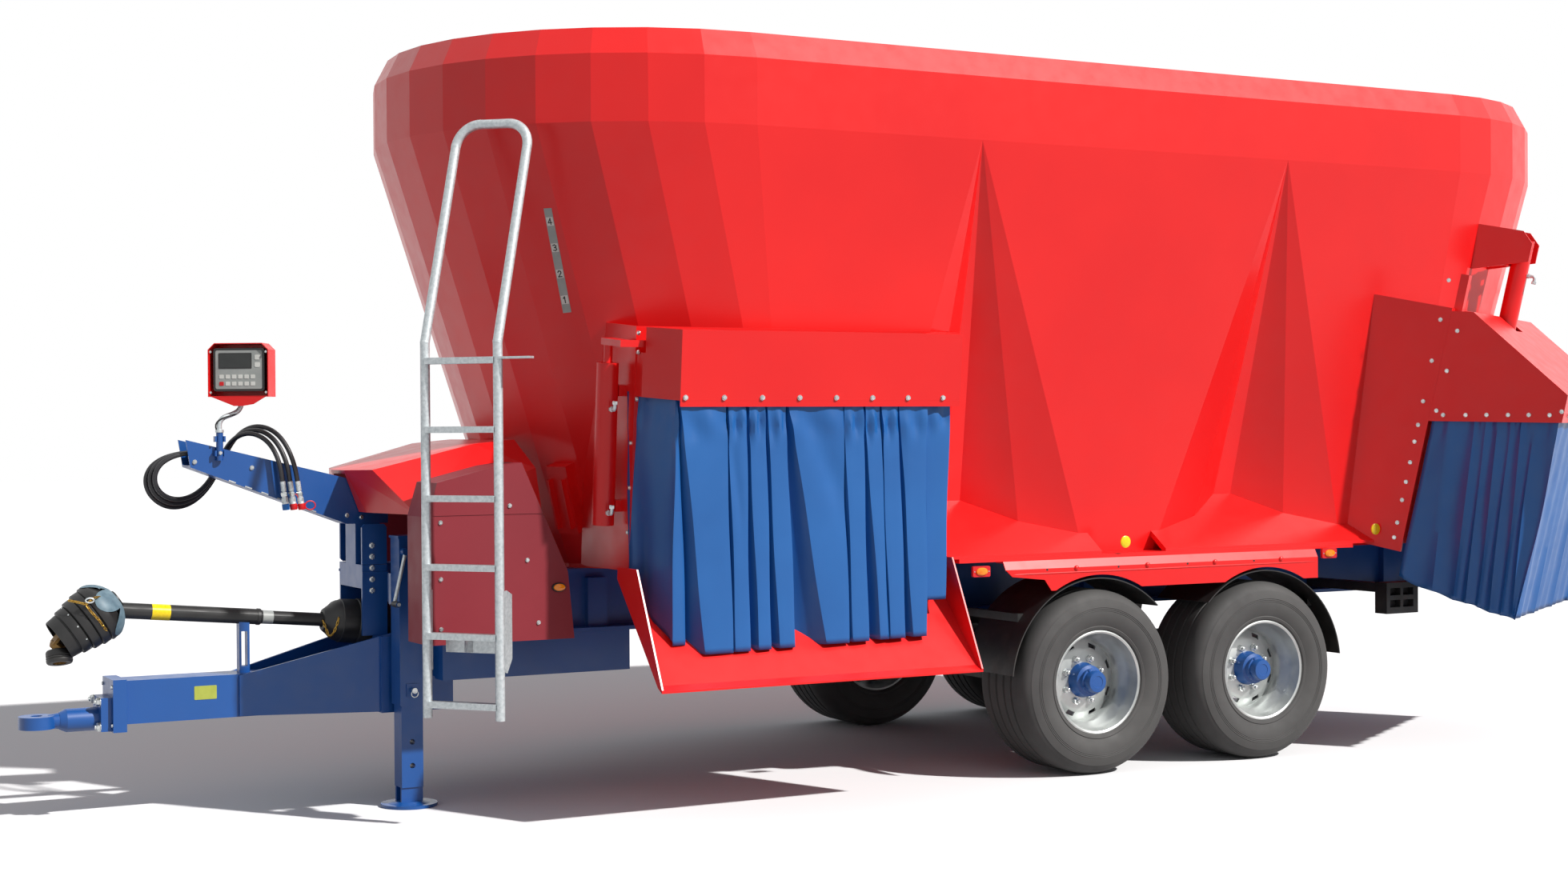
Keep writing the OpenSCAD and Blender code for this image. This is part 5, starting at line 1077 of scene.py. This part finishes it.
def makeDrawbarTrim(c):
    part = Shape("bolt", "sign", "plastic", "blue")
    x0, x1, z0, z1 = c["label"]
    f = turned(at((x0 + x1) / 2, c["labelY"], (z0 + z1) / 2), (0, -1, 0), (1, 0, 0))
    w, h = (x1 - x0) / 2, (z1 - z0) / 2
    outline = [(sx * (w - 0.004) + 0.004 * math.cos(a), sy * (h - 0.004) + 0.004 * math.sin(a)) for sx, sy, start in (
        (1, 1, 0), (-1, 1, 90), (-1, -1, 180), (1, -1, 270)) for a in [math.radians(start + 30 * k) for k in range(4)]]
    part.plate(outline, 0, 0.0012, f, "sign")
    for s in (-1, 1):
        for y, z in c["eyeBolts"]:
            part.bolt(at(0.262, s * y, z), (-1, 0, 0), 0.034)
            part.lathe([(0, 0.006), (0.010, 0.006), (0.010, 0.024), (0.008, 0.026), (0, 0.026)], turned(at(0.262, s * y, z), (-1, 0, 0)), "bolt", 16)
        for y, z in c["plateBolts"]:
            part.lathe([(0, -0.004), (0.0085, -0.004), (0.0085, 0.006), (0.006, 0.008), (0, 0.008)], turned(at(0.310, s * y, z), (-1, 0, 0)), "bolt", 16)
        part.bolt(at(0.930, s * 0.0865, 0.612), (0, s, 0), 0.024)
    # weld run round the plate where the box beam meets it
    ring = [at(0.3715, s * 0.086, z) for s, z in ((-1, 0.431), (-1, 0.624), (1, 0.624), (1, 0.431), (-1, 0.431))]
    for a, b in zip(ring, ring[1:]):
        count = max(2, int((b - a).length / 0.007))
        part.tube([a.lerp(b, k / count) for k in range(count + 1)], 0.0045, "blue", 8,
                  widths=[1 + 0.22 * (k % 2) for k in range(count + 1)])
    part.build("drawbar_bolts_and_label", "chassis")


makeDrawbarTrim(drawbarTrim)

jack = {"shaft": (1.560, -0.405, 1.180), "bend": (1.560, -0.437, 1.180), "grip": (1.505, -0.437, 0.944)}


def makeJackCrank(c):
    # bent zinc rod from the gear shaft to a turning black grip, and the pin on its lanyard
    part = Shape("zinc", "plastic", "bolt")
    shaft, bend, grip = (at(*c[k]) for k in ("shaft", "bend", "grip"))
    line = [shaft + Vector((0, -0.002, 0)), shaft + Vector((0, -0.018, 0)), bend + Vector((-0.001, 0.008, -0.004)),
            bend.lerp(grip, 0.08), bend.lerp(grip, 0.5), bend.lerp(grip, 0.94), grip + Vector((0, -0.012, 0.001)),
            grip + Vector((0, -0.066, 0))]
    part.tube(smoothPath(line, 6), 0.0085, "zinc", 16)
    f = turned(grip + Vector((0, 0.010, 0)), (0, -1, 0))
    part.lathe([(0, 0), (0.012, 0), (0.0142, 0.004), (0.0142, 0.030), (0.0150, 0.040), (0.0142, 0.060), (0.0138, 0.070), (0.009, 0.0735),
                (0, 0.074)], f, "plastic", 28)
    f = turned(at(1.560, -0.385, 1.180), (0, -1, 0))
    part.lathe([(0.0085, 0.0), (0.019, 0.0), (0.019, 0.012), (0.016, 0.014), (0.0085, 0.014)], f, "zinc", 28)
    pin = turned(at(1.600, -0.412, 0.540), (0, -1, 0))
    part.lathe([(0, -0.006), (0.009, -0.006), (0.009, 0.020), (0.013, 0.022), (0.013, 0.026), (0, 0.027)], pin, "bolt", 20)
    part.tube([at(1.600, -0.436, 0.540) + Vector((0.016 * math.cos(a), 0, 0.016 * math.sin(a) - 0.014)) for a in
               [2 * math.pi * k / 24 for k in range(25)]], 0.0024, "bolt", 8, ends=False)
    part.build("jack_crank_and_pin", "chassis")


makeJackCrank(jack)

cylinders = {"front": {"at": (-0.900, 0.090), "low": 0.225, "high": 0.760, "r": 0.050},
             "rear": {"at": (0.0, -0.167), "low": 1.020, "high": 1.560, "r": 0.050}}


def makeUnions(table):
    # two angled unions with lock nuts on every door cylinder
    for name, c in table.items():
        part = Shape("bolt", "zinc")
        x, y = c["at"]
        side = 1 if name == "front" else -1
        for z in (c["low"] + 0.035, c["high"] - 0.035):
            root = inChute(name, x, y - c["r"] + 0.001, z)
            out = chuteAxis(name, 0, -1, 0)
            part.lathe([(0, 0), (0.013, 0), (0.013, 0.012), (0.010, 0.014), (0.010, 0.022), (0, 0.022)], turned(root, out), "zinc", 6)
            part.tube(smoothPath([root + out * 0.020, root + out * 0.036, root + out * 0.042 + chuteAxis(name, 0, 0, side * 0.010),
                                  root + out * 0.043 + chuteAxis(name, 0, 0, side * 0.028)], 5), 0.0085, "zinc", 16)
            part.lathe([(0, 0), (0.0125, 0), (0.0125, 0.014), (0.010, 0.016), (0, 0.016)],
                       turned(root + out * 0.043 + chuteAxis(name, 0, 0, side * 0.024), chuteAxis(name, 0, 0, side)), "bolt", 6)
        part.build("cylinder_unions_" + name, "chassis")


makeUnions(cylinders)
print("fittings ready")


# ---- studio ----
def shownRays(tree):
    # rays that show the background: the camera's own, and those seen in metal or through a lens
    path = addNode(tree, "ShaderNodeLightPath")
    metal = addNode(tree, "ShaderNodeMath", {"operation": "MAXIMUM"})
    tree.links.new(path.outputs["Is Camera Ray"], metal.inputs[0])
    tree.links.new(path.outputs["Is Glossy Ray"], metal.inputs[1])
    lens = addNode(tree, "ShaderNodeMath", {"operation": "MAXIMUM"})
    tree.links.new(metal.outputs["Value"], lens.inputs[0])
    tree.links.new(path.outputs["Is Transmission Ray"], lens.inputs[1])
    return lens.outputs["Value"]


def makeStage():
    bpy.context.scene.view_settings.view_transform = "Standard"
    world = bpy.data.worlds.new("studio")
    bpy.context.scene.world = world
    world.use_nodes = True
    tree = world.node_tree
    tree.nodes.clear()
    light = addNode(tree, "ShaderNodeBackground", {"Color": hexLinear("F1F4F8"), "Strength": 0.36})
    plain = addNode(tree, "ShaderNodeBackground", {"Color": hexLinear("FFFFFF"), "Strength": 1.0})
    mix = addNode(tree, "ShaderNodeMixShader", links={"Fac": shownRays(tree)})
    tree.links.new(light.outputs["Background"], mix.inputs[1])
    tree.links.new(plain.outputs["Background"], mix.inputs[2])
    addNode(tree, "ShaderNodeOutputWorld", links={"Surface": mix.outputs["Shader"]})
    floor = bpy.data.meshes.new("floor")
    floor.from_pydata([at(-60, -60, -0.001), at(70, -60, -0.001), at(70, 70, -0.001), at(-60, 70, -0.001)], [], [(0, 1, 2, 3)])
    floorObject = bpy.data.objects.new("floor", floor)
    bpy.context.collection.objects.link(floorObject)
    mat = bpy.data.materials.new("pale floor")
    mat.use_nodes = True
    # white where the camera sees it, asphalt grey for the light it throws back
    tree = mat.node_tree
    tree.nodes.clear()
    dull = addNode(tree, "ShaderNodeBsdfDiffuse", {"Color": hexLinear("8C8C8E")})
    bright = addNode(tree, "ShaderNodeBsdfDiffuse", {"Color": hexLinear("FAFAFC")})
    mix = addNode(tree, "ShaderNodeMixShader", links={"Fac": shownRays(tree)})
    tree.links.new(dull.outputs["BSDF"], mix.inputs[1])
    tree.links.new(bright.outputs["BSDF"], mix.inputs[2])
    addNode(tree, "ShaderNodeOutputMaterial", links={"Surface": mix.outputs["Shader"]})
    floor.materials.append(mat)
    sun = bpy.data.lights.new("sun", "SUN")
    sun.energy, sun.angle, sun.color = 4.3, math.radians(1.5), (1, 0.98, 0.95)
    sunObject = bpy.data.objects.new("sun", sun)
    bpy.context.collection.objects.link(sunObject)
    sunObject.rotation_euler = Vector((-0.70, 1.0, -1.05)).to_track_quat("-Z", "Y").to_euler()
    print("stage ready")


makeStage()
